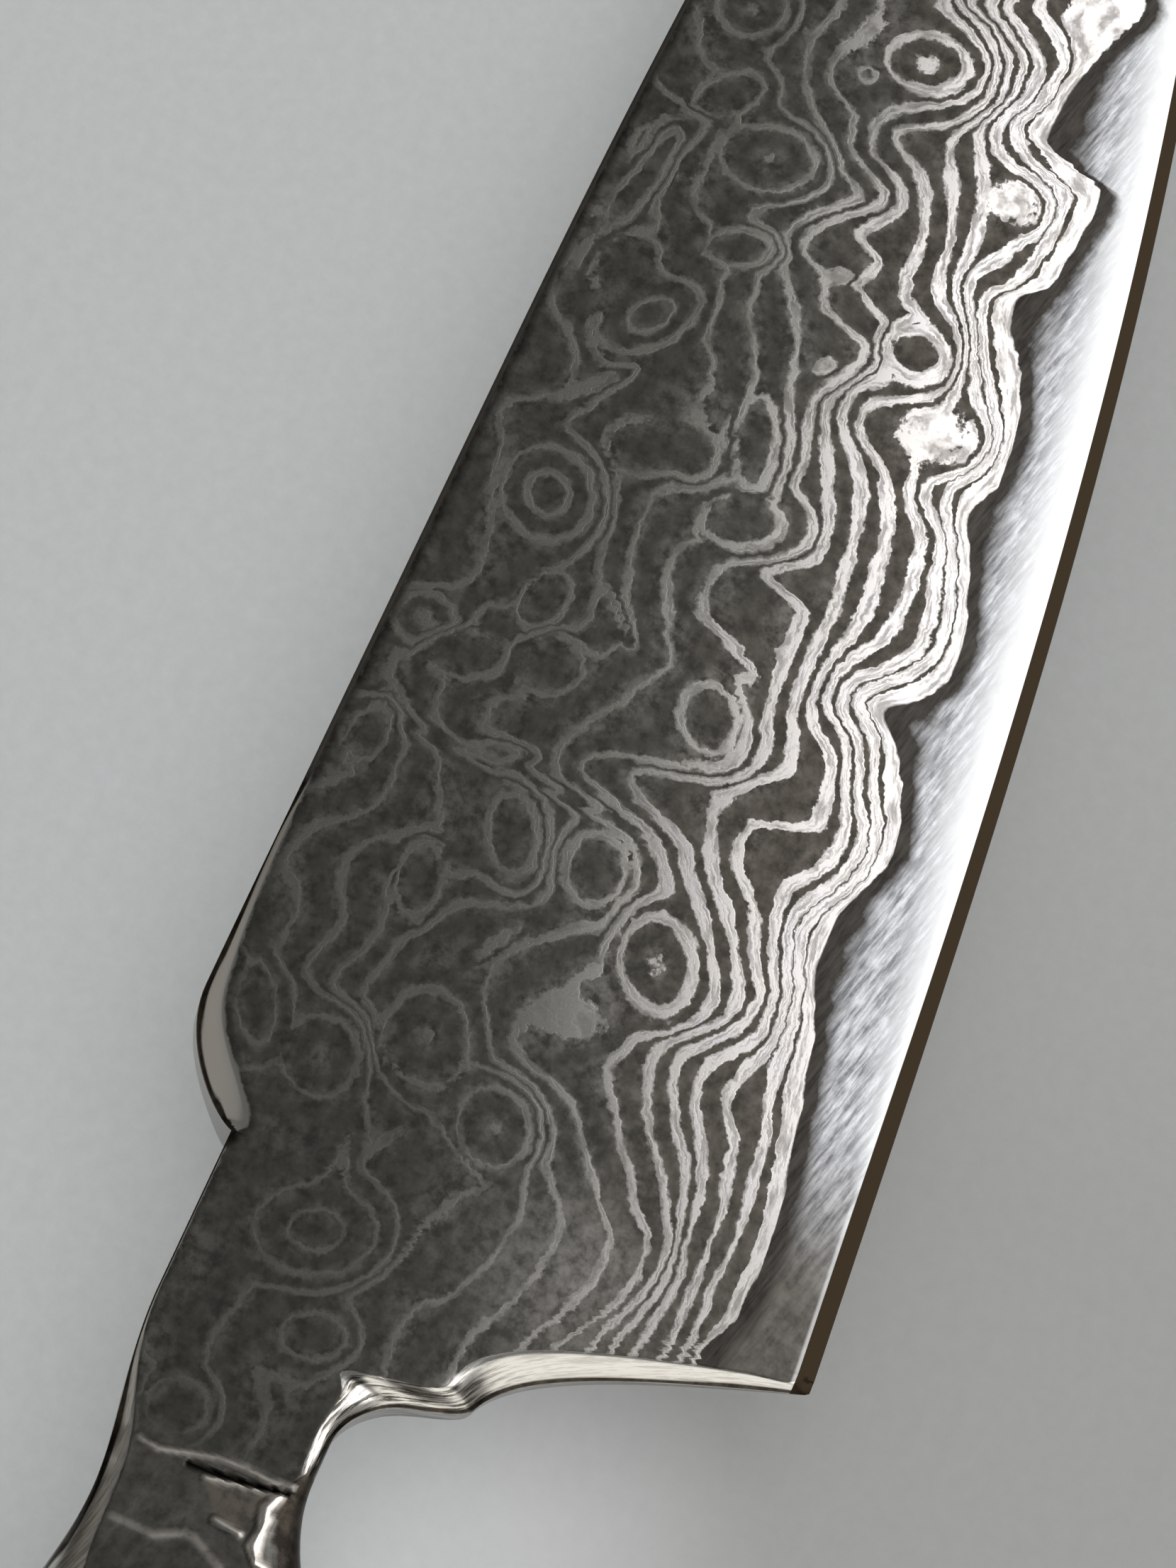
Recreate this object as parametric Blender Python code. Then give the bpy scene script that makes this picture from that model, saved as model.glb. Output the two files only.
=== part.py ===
# Paring knife: a pattern-welded blade forged in one piece with its bolster and full tang, two handle
# scales on fibre liners, two cutler's rivets and a mosaic pin.
# It lies on its side on z = 0. +X runs to the tip, +Y to the spine and +Z up. Sizes are in metres.

import math

import bmesh
import bpy
import numpy as np

# Blade, with heights measured up from the heel's corner
BLADE_LENGTH = 0.0910
BLADE_HEIGHT = 0.0231
SPINE_THICKNESS = 0.0024
TIP_THICKNESS = 0.0010
EDGE_THICKNESS = 0.0001
EDGE_BEVEL = 0.0006
GROUND_THICKNESS = 0.0004
GRIND_WIDTH = 0.0150
GRIND_SHARE = 0.75
GRIND_CURVE = 1.7
EDGE_LINEAR_SHARE = 0.3
TIP_HEIGHT = 0.0004
SPINE_STRAIGHT = 0.0280
SPINE_DROP = 0.0050
SPINE_CURVE = 2.2
SPINE_CHAMFER = 0.0004

# Shoulder where the spine steps down to the neck
SHOULDER_FRONT = 0.0035
SHOULDER_LENGTH = 0.0042
SHOULDER_STEP = 0.00275
SHOULDER_CURVE = 0.8

# Choil: an arc up from the heel to a cusp, then a tighter arc into the neck
HEEL_FLAT = 0.00045
CUSP_DISTANCE = 0.0060
CUSP_BELOW_NECK = 0.0036
NECK_ARC = 0.0025
CHOIL_ROUND = 0.0009

# Neck and forged bolster
NECK_LENGTH = 0.0103
NECK_HEIGHT = 0.00695
NECK_WAIST = 0.0008
WAIST_SETBACK = 0.0062
BELLY_SETBACK = 0.0097
FLARE_SETBACK = 0.0082
BOLSTER_LENGTH = 0.0137
BOLSTER_STEP = 0.0009
BOLSTER_SHELF = 0.0026
BOLSTER_CHAMFER = 0.0012
TANG_FILLET = 0.0001

# Handle
HANDLE_LENGTH = 0.0900
HANDLE_HEIGHT = 0.0156
HANDLE_THICKNESS = 0.0120
HANDLE_ARCH = 0.0009
GRIP_WAVE = 0.0009
HANDLE_FALL = 0.0005
HANDLE_CORNER = 0.0030
BUTT_ROUND = 0.0110
BUTT_FLAT_SHARE = 0.985
BUTT_CURVE = 3
BUTT_SWEEP_CURVE = 2.2
LINER_THICKNESS = 0.0008

# Rivets and mosaic pin, with distances measured back from the scales' front
RIVET_SETBACK = 0.0150
RIVET_HEAD_DIAMETER = 0.0076
RIVET_HEAD_HEIGHT = 0.0018
RIVET_PIN_DIAMETER = 0.0030
RIVET_SLEEVE_DIAMETER = 0.0052
MOSAIC_DIAMETER = 0.0080
MOSAIC_WALL = 0.0006
MOSAIC_ROD_DIAMETER = 0.0016
MOSAIC_RING_DIAMETER = 0.0044
MOSAIC_RING_RODS = 6

# Clearances: between glued or seated pieces, and inside the packed mosaic pin
CLEARANCE = 0.0003
MOSAIC_CLEARANCE = 0.0001

# Fineness of the faceted solids
ROUND_SIDES = 32
ROD_SIDES = 12
BODY_ROWS = 9
CORNER_ROWS = 3
LEAST_STEP = 0.00005

# Limits on a rounded corner: its share of a section's height, and of its half thickness
CORNER_SHARE = 0.25
ROUNDING_SHARE = 0.6

# Places that follow from the sizes, along X
SCALE_FRONT = CLEARANCE + NECK_LENGTH + BOLSTER_LENGTH
OVERALL_LENGTH = BLADE_LENGTH + SCALE_FRONT + HANDLE_LENGTH
HEEL_X = OVERALL_LENGTH / 2 - BLADE_LENGTH
EDGE_RISE = BLADE_HEIGHT - SPINE_DROP - TIP_HEIGHT
NECK_TOP = BLADE_HEIGHT - SHOULDER_STEP
NECK_BOTTOM = NECK_TOP - NECK_HEIGHT
CUSP_HEIGHT = NECK_BOTTOM - CUSP_BELOW_NECK
MIDDLE_Z = HANDLE_THICKNESS / 2
HANDLE_BOTTOM = NECK_TOP - HANDLE_HEIGHT
LINER_INNER = SPINE_THICKNESS / 2 + CLEARANCE
SCALE_INNER = LINER_INNER + LINER_THICKNESS + CLEARANCE
HEIGHT_TO_Y = -BLADE_HEIGHT / 2


def ease(t):
    # A smooth step from 0 to 1.
    t = np.clip(t, 0.0, 1.0)
    return t * t * (3.0 - 2.0 * t)


def edge_line(ahead):
    # The cutting edge: nearly straight at the heel, rising as a cubic to the tip.
    share = np.clip(ahead / BLADE_LENGTH, 0.0, 1.0)
    return EDGE_RISE * (EDGE_LINEAR_SHARE * share + (1.0 - EDGE_LINEAR_SHARE) * share**3)


def spine_line(ahead):
    # The spine: straight, then dropping to the tip.
    share = (ahead - SPINE_STRAIGHT) / (BLADE_LENGTH - SPINE_STRAIGHT)
    return BLADE_HEIGHT - SPINE_DROP * np.clip(share, 0.0, 1.0) ** SPINE_CURVE


def shoulder_line(ahead):
    # The rounded end of the spine, down to the neck.
    turn = np.clip((SHOULDER_FRONT - ahead) / SHOULDER_LENGTH, 0.0, 1.0) * math.pi / 2
    return NECK_TOP + SHOULDER_STEP * np.abs(np.cos(turn)) ** SHOULDER_CURVE


def handle_share(ahead):
    return np.clip((-ahead - NECK_LENGTH - BOLSTER_LENGTH) / HANDLE_LENGTH, 0.0, 1.0)


def butt_taper(ahead):
    # 1 along the handle, falling round the end of the butt.
    into = (handle_share(ahead) - 1.0) * HANDLE_LENGTH / BUTT_ROUND + 1.0
    return (1.0 - (BUTT_FLAT_SHARE * np.clip(into, 0.0, 1.0)) ** BUTT_CURVE) ** (1.0 / BUTT_SWEEP_CURVE)


def handle_middle(ahead):
    # The handle's middle line, which falls a little towards the butt.
    return NECK_TOP - HANDLE_HEIGHT / 2 - HANDLE_FALL * handle_share(ahead)


def handle_top(ahead):
    # The back of the neck dips to its waist, then arches gently over the handle.
    waist = NECK_WAIST * np.sin(np.pi * ease((-ahead - WAIST_SETBACK) / BOLSTER_LENGTH))
    top = NECK_TOP - waist + HANDLE_ARCH * np.sin(np.pi * handle_share(ahead))
    middle = handle_middle(ahead)
    return middle + (top - middle) * butt_taper(ahead)


def choil_line(behind):
    # Two quarter ellipses, from the heel to the cusp and from the cusp to the neck.
    first = np.clip((behind - HEEL_FLAT) / (CUSP_DISTANCE - HEEL_FLAT), 0.0, 1.0)
    second = 1.0 - np.clip((behind - CUSP_DISTANCE) / NECK_ARC, 0.0, 1.0)
    rise = CUSP_HEIGHT * np.sin(first * math.pi / 2)
    return rise + CUSP_BELOW_NECK * np.sqrt(1.0 - second**2)


def handle_bottom(ahead):
    # The belly drops from the neck to the grip, which has a waist and a swell.
    drop = NECK_BOTTOM - HANDLE_BOTTOM
    length = NECK_LENGTH + BOLSTER_LENGTH - BELLY_SETBACK
    fall = np.clip((-ahead - BELLY_SETBACK) / length, 0.0, 1.0)
    bottom = choil_line(-ahead) - drop * (1.0 - np.cos(np.pi * fall)) / 2
    bottom = bottom + GRIP_WAVE * np.sin(2 * np.pi * handle_share(ahead))
    middle = handle_middle(ahead)
    blend = butt_taper(ahead)
    return np.where(blend < 1.0, middle + (bottom - middle) * blend, bottom)


def top_line(ahead):
    blade = np.where(ahead > SHOULDER_FRONT, spine_line(ahead), shoulder_line(ahead))
    return np.where(ahead > SHOULDER_FRONT - SHOULDER_LENGTH, blade, handle_top(ahead))


def bottom_line(ahead):
    return np.where(ahead >= 0.0, edge_line(ahead), handle_bottom(ahead))


def blade_half(ahead, height):
    # Half the blade's thickness: tapered to the tip, ground convex, then a flat bevel to the edge.
    taper = ease(ahead / BLADE_LENGTH)
    spine = (SPINE_THICKNESS + (TIP_THICKNESS - SPINE_THICKNESS) * taper) / 2
    width = np.minimum(GRIND_WIDTH, GRIND_SHARE * (top_line(ahead) - bottom_line(ahead)))
    width = width if ahead > 0.0 else GRIND_WIDTH
    above = height - edge_line(ahead)
    ground = GROUND_THICKNESS / 2
    edge = EDGE_THICKNESS / 2
    up = np.clip((above - EDGE_BEVEL) / width, 0.0, 1.0)
    grind = ground + (spine - ground) * (1.0 - (1.0 - up) ** GRIND_CURVE)
    bevel = edge + (ground - edge) * above / EDGE_BEVEL
    return np.where(above < EDGE_BEVEL, bevel, grind)


def bolster_half(ahead):
    # Half the bolster's thickness: a step, a shelf and a flare up to the handle.
    back = -ahead - NECK_LENGTH
    step = BOLSTER_STEP * ease(back / BOLSTER_STEP)
    flare = ease((back - BOLSTER_SHELF) / (BOLSTER_LENGTH - BOLSTER_SHELF))
    start = SPINE_THICKNESS / 2 + step
    return start + (HANDLE_THICKNESS / 2 - start) * flare


def corner_width(ahead, at_top):
    # How far the rounding reaches in from the outline.
    back = ease((-ahead - NECK_LENGTH) / BOLSTER_LENGTH)
    polished = EDGE_BEVEL + (CHOIL_ROUND - EDGE_BEVEL) * ease(-ahead / CHOIL_ROUND)
    front = SPINE_CHAMFER if at_top else polished
    grown = front + (BOLSTER_CHAMFER - front) * ease((-ahead - FLARE_SETBACK) / BOLSTER_SHELF)
    return grown + (HANDLE_CORNER - grown) * back


def rounded(half, corner, depth):
    # The half thickness at a depth in from the outline, along a quarter ellipse.
    away = 1.0 - np.clip(depth / corner, 0.0, 1.0)
    drop = np.minimum(corner, ROUNDING_SHARE * half)
    return half - drop * (1.0 - np.sqrt(1.0 - away**2))


def section_heights(ahead):
    # Heights of the points of one section: the two corners in fine rows, the body between.
    low, high = bottom_line(ahead), top_line(ahead)
    reach = CORNER_SHARE * (high - low)
    corner_low = np.minimum(corner_width(ahead, False), reach)
    corner_high = np.minimum(corner_width(ahead, True), reach)
    bend = 1.0 - np.cos(np.linspace(0.0, math.pi / 2, CORNER_ROWS + 1))
    lower = low + corner_low * bend
    upper = high - corner_high * bend[::-1]
    body = np.linspace(lower[-1], upper[0], BODY_ROWS + 2)[1:-1]
    return np.concatenate([lower, body, upper]), corner_low, corner_high


def forged_section(ahead, tang):
    heights, corner_low, corner_high = section_heights(ahead)
    if tang:
        return heights, np.full(len(heights), SPINE_THICKNESS / 2)
    half = blade_half(ahead, heights)
    if ahead < -NECK_LENGTH:
        half = np.full(len(heights), bolster_half(ahead))
    half = rounded(half, corner_high, heights[-1] - heights)
    if ahead < 0.0:
        half = rounded(half, corner_low, heights - heights[0])
    return heights, half


def handle_section(ahead):
    heights, corner_low, corner_high = section_heights(ahead)
    half = np.full(len(heights), HANDLE_THICKNESS / 2)
    half = rounded(half, corner_high, heights[-1] - heights)
    return heights, rounded(half, corner_low, heights - heights[0])


def ring(ahead, heights, upper, lower):
    # One closed ring of points: along the upper side and back along the lower side.
    x = np.full(2 * len(heights), HEEL_X + ahead)
    y = HEIGHT_TO_Y + np.concatenate([heights, heights[::-1]])
    z = MIDDLE_Z + np.concatenate([upper, lower[::-1]])
    return np.column_stack([x, y, z])


def loft(name, rings, material):
    # Skins a row of equal rings, from the butt to the tip, and caps both ends.
    mesh = bmesh.new()
    rows = [[mesh.verts.new(point) for point in points] for points in rings]
    for back, front in zip(rows, rows[1:]):
        for i in range(len(back)):
            j = (i + 1) % len(back)
            mesh.faces.new([back[i], back[j], front[j], front[i]])
    mesh.faces.new(rows[0][::-1])
    mesh.faces.new(rows[-1])
    bmesh.ops.recalc_face_normals(mesh, faces=mesh.faces)
    data = bpy.data.meshes.new(name)
    mesh.to_mesh(data)
    mesh.free()
    data.shade_smooth()
    data.set_sharp_from_angle(angle=math.radians(30))
    return add_part(name, data, material)


def add_part(name, data, material):
    obj = bpy.data.objects.new(name, data)
    parts.objects.link(obj)
    obj.data.materials.append(material)
    return obj


def finish(name, colour, roughness, metallic):
    material = bpy.data.materials.new(name)
    material.use_nodes = True
    shader = material.node_tree.nodes["Principled BSDF"]
    shader.inputs["Base Color"].default_value = (*colour, 1.0)
    shader.inputs["Roughness"].default_value = roughness
    shader.inputs["Metallic"].default_value = metallic
    return material


def cylinder(name, radius, low, high, sides, centre, material):
    # A closed cylinder along Z between two heights.
    bpy.ops.mesh.primitive_cylinder_add(
        vertices=sides, radius=radius, depth=high - low, location=(*centre, (low + high) / 2)
    )
    obj = bpy.context.object
    obj.name = name
    for collection in list(obj.users_collection):
        collection.objects.unlink(obj)
    if material is None:
        cutters.objects.link(obj)
        obj.hide_render = True
        obj.display_type = "WIRE"
    else:
        parts.objects.link(obj)
        obj.data.materials.append(material)
        obj.data.shade_smooth()
        obj.data.set_sharp_from_angle(angle=math.radians(30))
    return obj


def cut(target, cutter):
    modifier = target.modifiers.new(cutter.name, "BOOLEAN")
    modifier.operation = "DIFFERENCE"
    modifier.solver = "EXACT"
    modifier.object = cutter


def join(target, other):
    modifier = target.modifiers.new(other.name, "BOOLEAN")
    modifier.operation = "UNION"
    modifier.solver = "EXACT"
    modifier.object = other


def spaced(places):
    # The places in order, with each one that is too near the next left out.
    ordered = np.sort(places)
    gaps = np.diff(ordered)
    return ordered[np.append(gaps > 0.9 * LEAST_STEP, True)]


def build_blade(steel):
    # Sections are close together where the outline turns: the heel, the cusp and the shoulder.
    back = -(NECK_LENGTH + BOLSTER_LENGTH)
    butt = back - CLEARANCE - HANDLE_LENGTH
    choil = [
        -0.5 * HEEL_FLAT,
        *(-HEEL_FLAT - (CUSP_DISTANCE - HEEL_FLAT) * np.linspace(0.06, 0.98, 9)),
        *(-CUSP_DISTANCE - NECK_ARC * (1.0 - np.cos(np.linspace(0.1, math.pi / 2, 7)))),
    ]
    shoulder = SHOULDER_FRONT - SHOULDER_LENGTH * np.sin(np.linspace(0.0, math.pi / 2, 8))
    after = SHOULDER_FRONT - SHOULDER_LENGTH - LEAST_STEP
    blade = BLADE_LENGTH * np.linspace(0.0, 1.0, 26)[1:-1]
    point = BLADE_LENGTH * np.array([0.975, 0.99, 1.0])
    bolster = -NECK_LENGTH - BOLSTER_STEP * np.linspace(0.0, 1.0, 5)
    flare = np.linspace(-NECK_LENGTH - BOLSTER_SHELF, back, 9)
    forged = np.concatenate([choil, shoulder, [0.0, after], blade, point, bolster, flare])
    rings = []
    for ahead in tang_places(butt, back - TANG_FILLET):
        heights, half = forged_section(ahead, True)
        rings.append(ring(ahead, heights, half, -half))
    for ahead in spaced(forged):
        heights, half = forged_section(ahead, False)
        rings.append(ring(ahead, heights, half, -half))
    return loft("blade", rings, steel)


def tang_places(butt, front):
    # Places along the handle, closer together round the butt.
    straight = np.linspace(front, butt + BUTT_ROUND, 19)
    turn = butt + BUTT_ROUND * (1.0 - np.sin(np.linspace(0.0, math.pi / 2, 9)))
    return spaced(np.concatenate([straight, turn]))


def build_slab(name, side, inner, outer, material):
    # A liner has a flat outer face at the given distance, and a scale (outer is None) a rounded one.
    front = -SCALE_FRONT
    rings = []
    for ahead in tang_places(front - HANDLE_LENGTH, front):
        heights, half = handle_section(ahead)
        face = half if outer is None else np.full(len(heights), outer)
        wall = np.full(len(heights), inner)
        if side > 0:
            rings.append(ring(ahead, heights, face, wall))
        else:
            rings.append(ring(ahead, heights, -wall, -face))
    return loft(name, rings, material)


def pin_centre(setback):
    # A point on the handle's middle line, the given distance behind the scales' front.
    ahead = -SCALE_FRONT - setback
    middle = (top_line(ahead) + bottom_line(ahead)) / 2
    return float(HEEL_X + ahead), float(HEIGHT_TO_Y + middle)


def build_rivet(name, setback, handle, steel):
    # The sleeve half comes in from the left face, the pin half from the right face into its bore.
    centre = pin_centre(setback)
    head = RIVET_HEAD_DIAMETER / 2
    sleeve_top = HANDLE_THICKNESS - RIVET_HEAD_HEIGHT - CLEARANCE
    bore = RIVET_PIN_DIAMETER / 2 + CLEARANCE
    drilled = RIVET_SLEEVE_DIAMETER / 2 + CLEARANCE
    seat = RIVET_HEAD_HEIGHT + CLEARANCE
    root = RIVET_HEAD_HEIGHT / 2
    past = HANDLE_THICKNESS / 4

    sleeve = cylinder(name + "_sleeve", head, 0.0, RIVET_HEAD_HEIGHT, ROUND_SIDES, centre, steel)
    tube = cylinder(name + "_tube", RIVET_SLEEVE_DIAMETER / 2, root, sleeve_top, ROUND_SIDES, centre, None)
    hollow = cylinder(
        name + "_bore", bore, RIVET_HEAD_HEIGHT, HANDLE_THICKNESS, ROUND_SIDES, centre, None
    )
    join(sleeve, tube)
    cut(sleeve, hollow)

    top = HANDLE_THICKNESS - RIVET_HEAD_HEIGHT
    pin = cylinder(name + "_pin", head, top, HANDLE_THICKNESS, ROUND_SIDES, centre, steel)
    shank = cylinder(
        name + "_shank", RIVET_PIN_DIAMETER / 2, seat, top + root, ROUND_SIDES, centre, None
    )
    join(pin, shank)

    hole = cylinder(name + "_hole", drilled, -past, HANDLE_THICKNESS + past, ROUND_SIDES, centre, None)
    low = cylinder(name + "_seat_left", head + CLEARANCE, -past, seat, ROUND_SIDES, centre, None)
    high = cylinder(
        name + "_seat_right",
        head + CLEARANCE,
        HANDLE_THICKNESS - seat,
        HANDLE_THICKNESS + past,
        ROUND_SIDES,
        centre,
        None,
    )
    for piece in handle:
        cut(piece, hole)
    cut(handle[0], high)
    cut(handle[1], low)


def build_mosaic_pin(setback, handle, brass, resin, copper):
    # A brass tube packed with rods in dark resin, flush with both faces.
    x, y = pin_centre(setback)
    radius = MOSAIC_DIAMETER / 2
    inside = radius - MOSAIC_WALL
    top = HANDLE_THICKNESS
    past = HANDLE_THICKNESS / 4
    tube = cylinder("mosaic_tube", radius, 0.0, top, ROUND_SIDES, (x, y), brass)
    cut(tube, cylinder("mosaic_tube_bore", inside, -past, top + past, ROUND_SIDES, (x, y), None))
    fill = cylinder(
        "mosaic_resin", inside - MOSAIC_CLEARANCE, 0.0, top, ROUND_SIDES, (x, y), resin
    )
    places = [(x, y)]
    for i in range(MOSAIC_RING_RODS):
        turn = 2 * math.pi * i / MOSAIC_RING_RODS
        reach = MOSAIC_RING_DIAMETER / 2
        places.append((x + reach * math.cos(turn), y + reach * math.sin(turn)))
    rod = MOSAIC_ROD_DIAMETER / 2
    for i, place in enumerate(places, start=1):
        metal = copper if i == 1 else brass
        cylinder(f"mosaic_rod_{i}", rod, 0.0, top, ROD_SIDES, place, metal)
        name = f"mosaic_rod_hole_{i}"
        cut(fill, cylinder(name, rod + MOSAIC_CLEARANCE, -past, top + past, ROD_SIDES, place, None))
    hole = cylinder(
        "mosaic_hole", radius + CLEARANCE, -past, top + past, ROUND_SIDES, (x, y), None
    )
    for piece in handle:
        cut(piece, hole)


for old in list(bpy.data.objects):
    bpy.data.objects.remove(old)

parts = bpy.data.collections.new("paring_knife")
cutters = bpy.data.collections.new("cutters")
for collection in (parts, cutters):
    bpy.context.scene.collection.children.link(collection)

pattern_steel = finish("pattern_steel", (0.20, 0.19, 0.18), 0.35, 1.0)
rivet_steel = finish("rivet_steel", (0.62, 0.61, 0.59), 0.25, 1.0)
dark_wood = finish("dark_wood", (0.055, 0.030, 0.020), 0.45, 0.0)
black_fibre = finish("black_fibre", (0.020, 0.020, 0.022), 0.60, 0.0)
polished_brass = finish("polished_brass", (0.72, 0.53, 0.25), 0.25, 1.0)
polished_copper = finish("polished_copper", (0.75, 0.38, 0.25), 0.25, 1.0)
black_resin = finish("black_resin", (0.015, 0.015, 0.016), 0.35, 0.0)

blade = build_blade(pattern_steel)
right_scale = build_slab("right_scale", 1, SCALE_INNER, None, dark_wood)
left_scale = build_slab("left_scale", -1, SCALE_INNER, None, dark_wood)
liner_outer = LINER_INNER + LINER_THICKNESS
right_liner = build_slab("right_liner", 1, LINER_INNER, liner_outer, black_fibre)
left_liner = build_slab("left_liner", -1, LINER_INNER, liner_outer, black_fibre)

handle_pieces = [right_scale, left_scale, right_liner, left_liner, blade]
build_rivet("front_rivet", RIVET_SETBACK, handle_pieces, rivet_steel)
build_rivet("rear_rivet", HANDLE_LENGTH - RIVET_SETBACK, handle_pieces, rivet_steel)
build_mosaic_pin(
    HANDLE_LENGTH / 2, handle_pieces, polished_brass, black_resin, polished_copper
)
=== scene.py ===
import math
from functools import partial

import bpy
import numpy as np
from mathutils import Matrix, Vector


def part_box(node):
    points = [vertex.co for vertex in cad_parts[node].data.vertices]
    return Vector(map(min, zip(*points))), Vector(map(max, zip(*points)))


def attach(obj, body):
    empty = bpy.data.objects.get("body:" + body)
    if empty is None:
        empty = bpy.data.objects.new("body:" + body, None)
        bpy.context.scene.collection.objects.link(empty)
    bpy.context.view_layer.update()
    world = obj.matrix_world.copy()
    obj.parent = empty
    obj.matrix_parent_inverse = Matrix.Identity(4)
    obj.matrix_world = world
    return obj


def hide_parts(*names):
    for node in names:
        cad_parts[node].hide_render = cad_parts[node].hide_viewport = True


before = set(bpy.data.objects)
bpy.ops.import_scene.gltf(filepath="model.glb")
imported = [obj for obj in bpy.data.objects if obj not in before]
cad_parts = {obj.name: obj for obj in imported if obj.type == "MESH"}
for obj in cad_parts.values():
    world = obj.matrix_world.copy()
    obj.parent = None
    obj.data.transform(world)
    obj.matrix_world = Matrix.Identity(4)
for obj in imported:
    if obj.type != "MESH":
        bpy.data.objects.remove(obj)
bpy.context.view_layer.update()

print("frame loaded:", len(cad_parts), "nodes")

# Paring knife on its side: +X to the tip, +Y to the spine, +Z up, metres
mm = 0.001


# Nodes and colours

colourMix = {"output": 2, "data_type": "RGBA"}      # what a Mix node between two colours needs


def linear(hexCode):
    # sRGB hex to linear RGBA: the sRGB curve undone on each channel
    channels = [int(hexCode[i:i + 2], 16) / 255 for i in (1, 3, 5)]
    return [c / 12.92 if c <= 0.04045 else ((c + 0.055) / 1.055) ** 2.4 for c in channels] + [1.0]


def connect(tree, node, inputs):
    # inputs in order or by key: a socket is linked, a hex colour is made linear, and a value is set
    for key, value in inputs.items() if isinstance(inputs, dict) else enumerate(inputs):
        if isinstance(value, bpy.types.NodeSocket):
            tree.links.new(value, node.inputs[key])
        else:
            node.inputs[key].default_value = linear(value) if isinstance(value, str) else value


def addNode(tree, kind, inputs=(), output=0, **settings):
    # one node with its settings and links; it gives the socket of one output
    node = tree.nodes.new("ShaderNode" + kind)
    for key, value in settings.items():
        setattr(node, key, value)
    connect(tree, node, inputs)
    return node.outputs[output]


def newMaterial(name):
    # the material, what adds a node to it, and the Object coordinates that its patterns read
    material = bpy.data.materials.new(name)
    material.use_nodes = True
    add = partial(addNode, material.node_tree)
    return material, add, add("TexCoord", output="Object")


def shade(material, inputs):
    tree = material.node_tree
    connect(tree, tree.nodes["Principled BSDF"], inputs)
    return material


def grain(add, place, sizeMm, detail=2.0, roughness=0.5, stretch=(1, 1, 1), turn=0.0):
    # noise whose coarsest blobs are about the given size, drawn out by factors and turned by degrees
    drawn = {"Vector": place, "Rotation": (0, 0, math.radians(turn)), "Scale": stretch}
    place = add("Mapping", drawn, vector_type="TEXTURE")
    inputs = {"Vector": place, "Scale": 1 / (sizeMm * mm), "Detail": detail, "Roughness": roughness}
    return add("TexNoise", inputs)


def flowing(add, place, across, alongPerMm, detail, roughness):
    # noise drawn out along the blade: quick in the measure across, slow in X and Y
    slow = [add("Math", [add("SeparateXYZ", [place], axis), alongPerMm / mm], operation="MULTIPLY")
            for axis in "XY"]
    flow = add("CombineXYZ", [across, *slow])
    return add("TexNoise", {"Vector": flow, "Scale": 1.0, "Detail": detail, "Roughness": roughness})


def swing(add, value, reach, base=0.0):
    # the value's swing about one half, times the reach, on the base
    centred = add("Math", [value, 0.5], operation="SUBTRACT")
    return add("Math", [centred, reach, base], operation="MULTIPLY_ADD")


def sumOf(add, *terms):
    # the sum of each value times its weight
    total = 0.0
    for value, weight in terms:
        total = add("Math", [value, weight, total], operation="MULTIPLY_ADD")
    return total


def productOf(add, first, *others):
    # the product of three or more values
    for value in others:
        first = add("Math", [first, value], operation="MULTIPLY")
    return first


# Smooth helpers, all on whole arrays

def ease(t):
    # smooth step: 3t^2 - 2t^3 between 0 and 1
    t = np.clip(t, 0, 1)
    return t * t * (3 - 2 * t)


def grown(x, start, run, amount=1):
    # 0 up to the start, eased to the amount a run further on, which a negative run takes backwards
    return amount * ease((x - start) / run)


def bell(t):
    # exp(-t^2)
    return np.exp(-t * t)


def smoothNoise(x, y, size, seed):
    # value noise: random numbers on a square lattice of the given cell size, eased between corners
    cells = 64
    table = np.random.default_rng(seed).uniform(-1, 1, (cells, cells))
    u, v = x / size, y / size
    i, j = np.floor(u).astype(int), np.floor(v).astype(int)
    s, t = ease(u - i), ease(v - j)
    i, j, k, m = i % cells, j % cells, (i + 1) % cells, (j + 1) % cells
    low = table[i, j] * (1 - s) + table[k, j] * s
    high = table[i, m] * (1 - s) + table[k, m] * s
    return low * (1 - t) + high * t


def throughPoints(x, y, fine):
    # cubic Hermite curve through the points: each slope is the harmonic mean of the two stretches beside
    # it, and 0 where they turn back, so that it never overshoots
    step = np.maximum(np.diff(x), 1e-6)
    rise = np.diff(y) / step
    slope = np.zeros(len(x))
    same = rise[:-1] * rise[1:] > 0
    slope[1:-1][same] = 2 * rise[:-1][same] * rise[1:][same] / (rise[:-1][same] + rise[1:][same])
    k = np.clip(np.searchsorted(x, fine) - 1, 0, len(x) - 2)
    t = np.clip((fine - x[k]) / step[k], 0, 1)
    bulge = t * (1 - t) * step[k] * ((1 - t) * (slope[k] - rise[k]) - t * (slope[k + 1] - rise[k]))
    return y[k] + rise[k] * step[k] * t + bulge


def evened(values, count):
    # each value averaged with its neighbours, an odd count in all, weighted by a raised cosine
    kernel = np.hanning(count + 2)[1:-1]
    padded = np.pad(values, count // 2, mode="edge")
    return np.convolve(padded, kernel / kernel.sum(), "valid")


def averaged(x, y, reach):
    # a smooth line through the points, sampled along the whole blade and averaged over the given reach
    first, last, step = -30, 96, 0.1
    fine = np.arange(first, last, step)
    return fine, evened(throughPoints(x, y, fine), int(reach / step) | 1)


# Meshes

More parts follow.
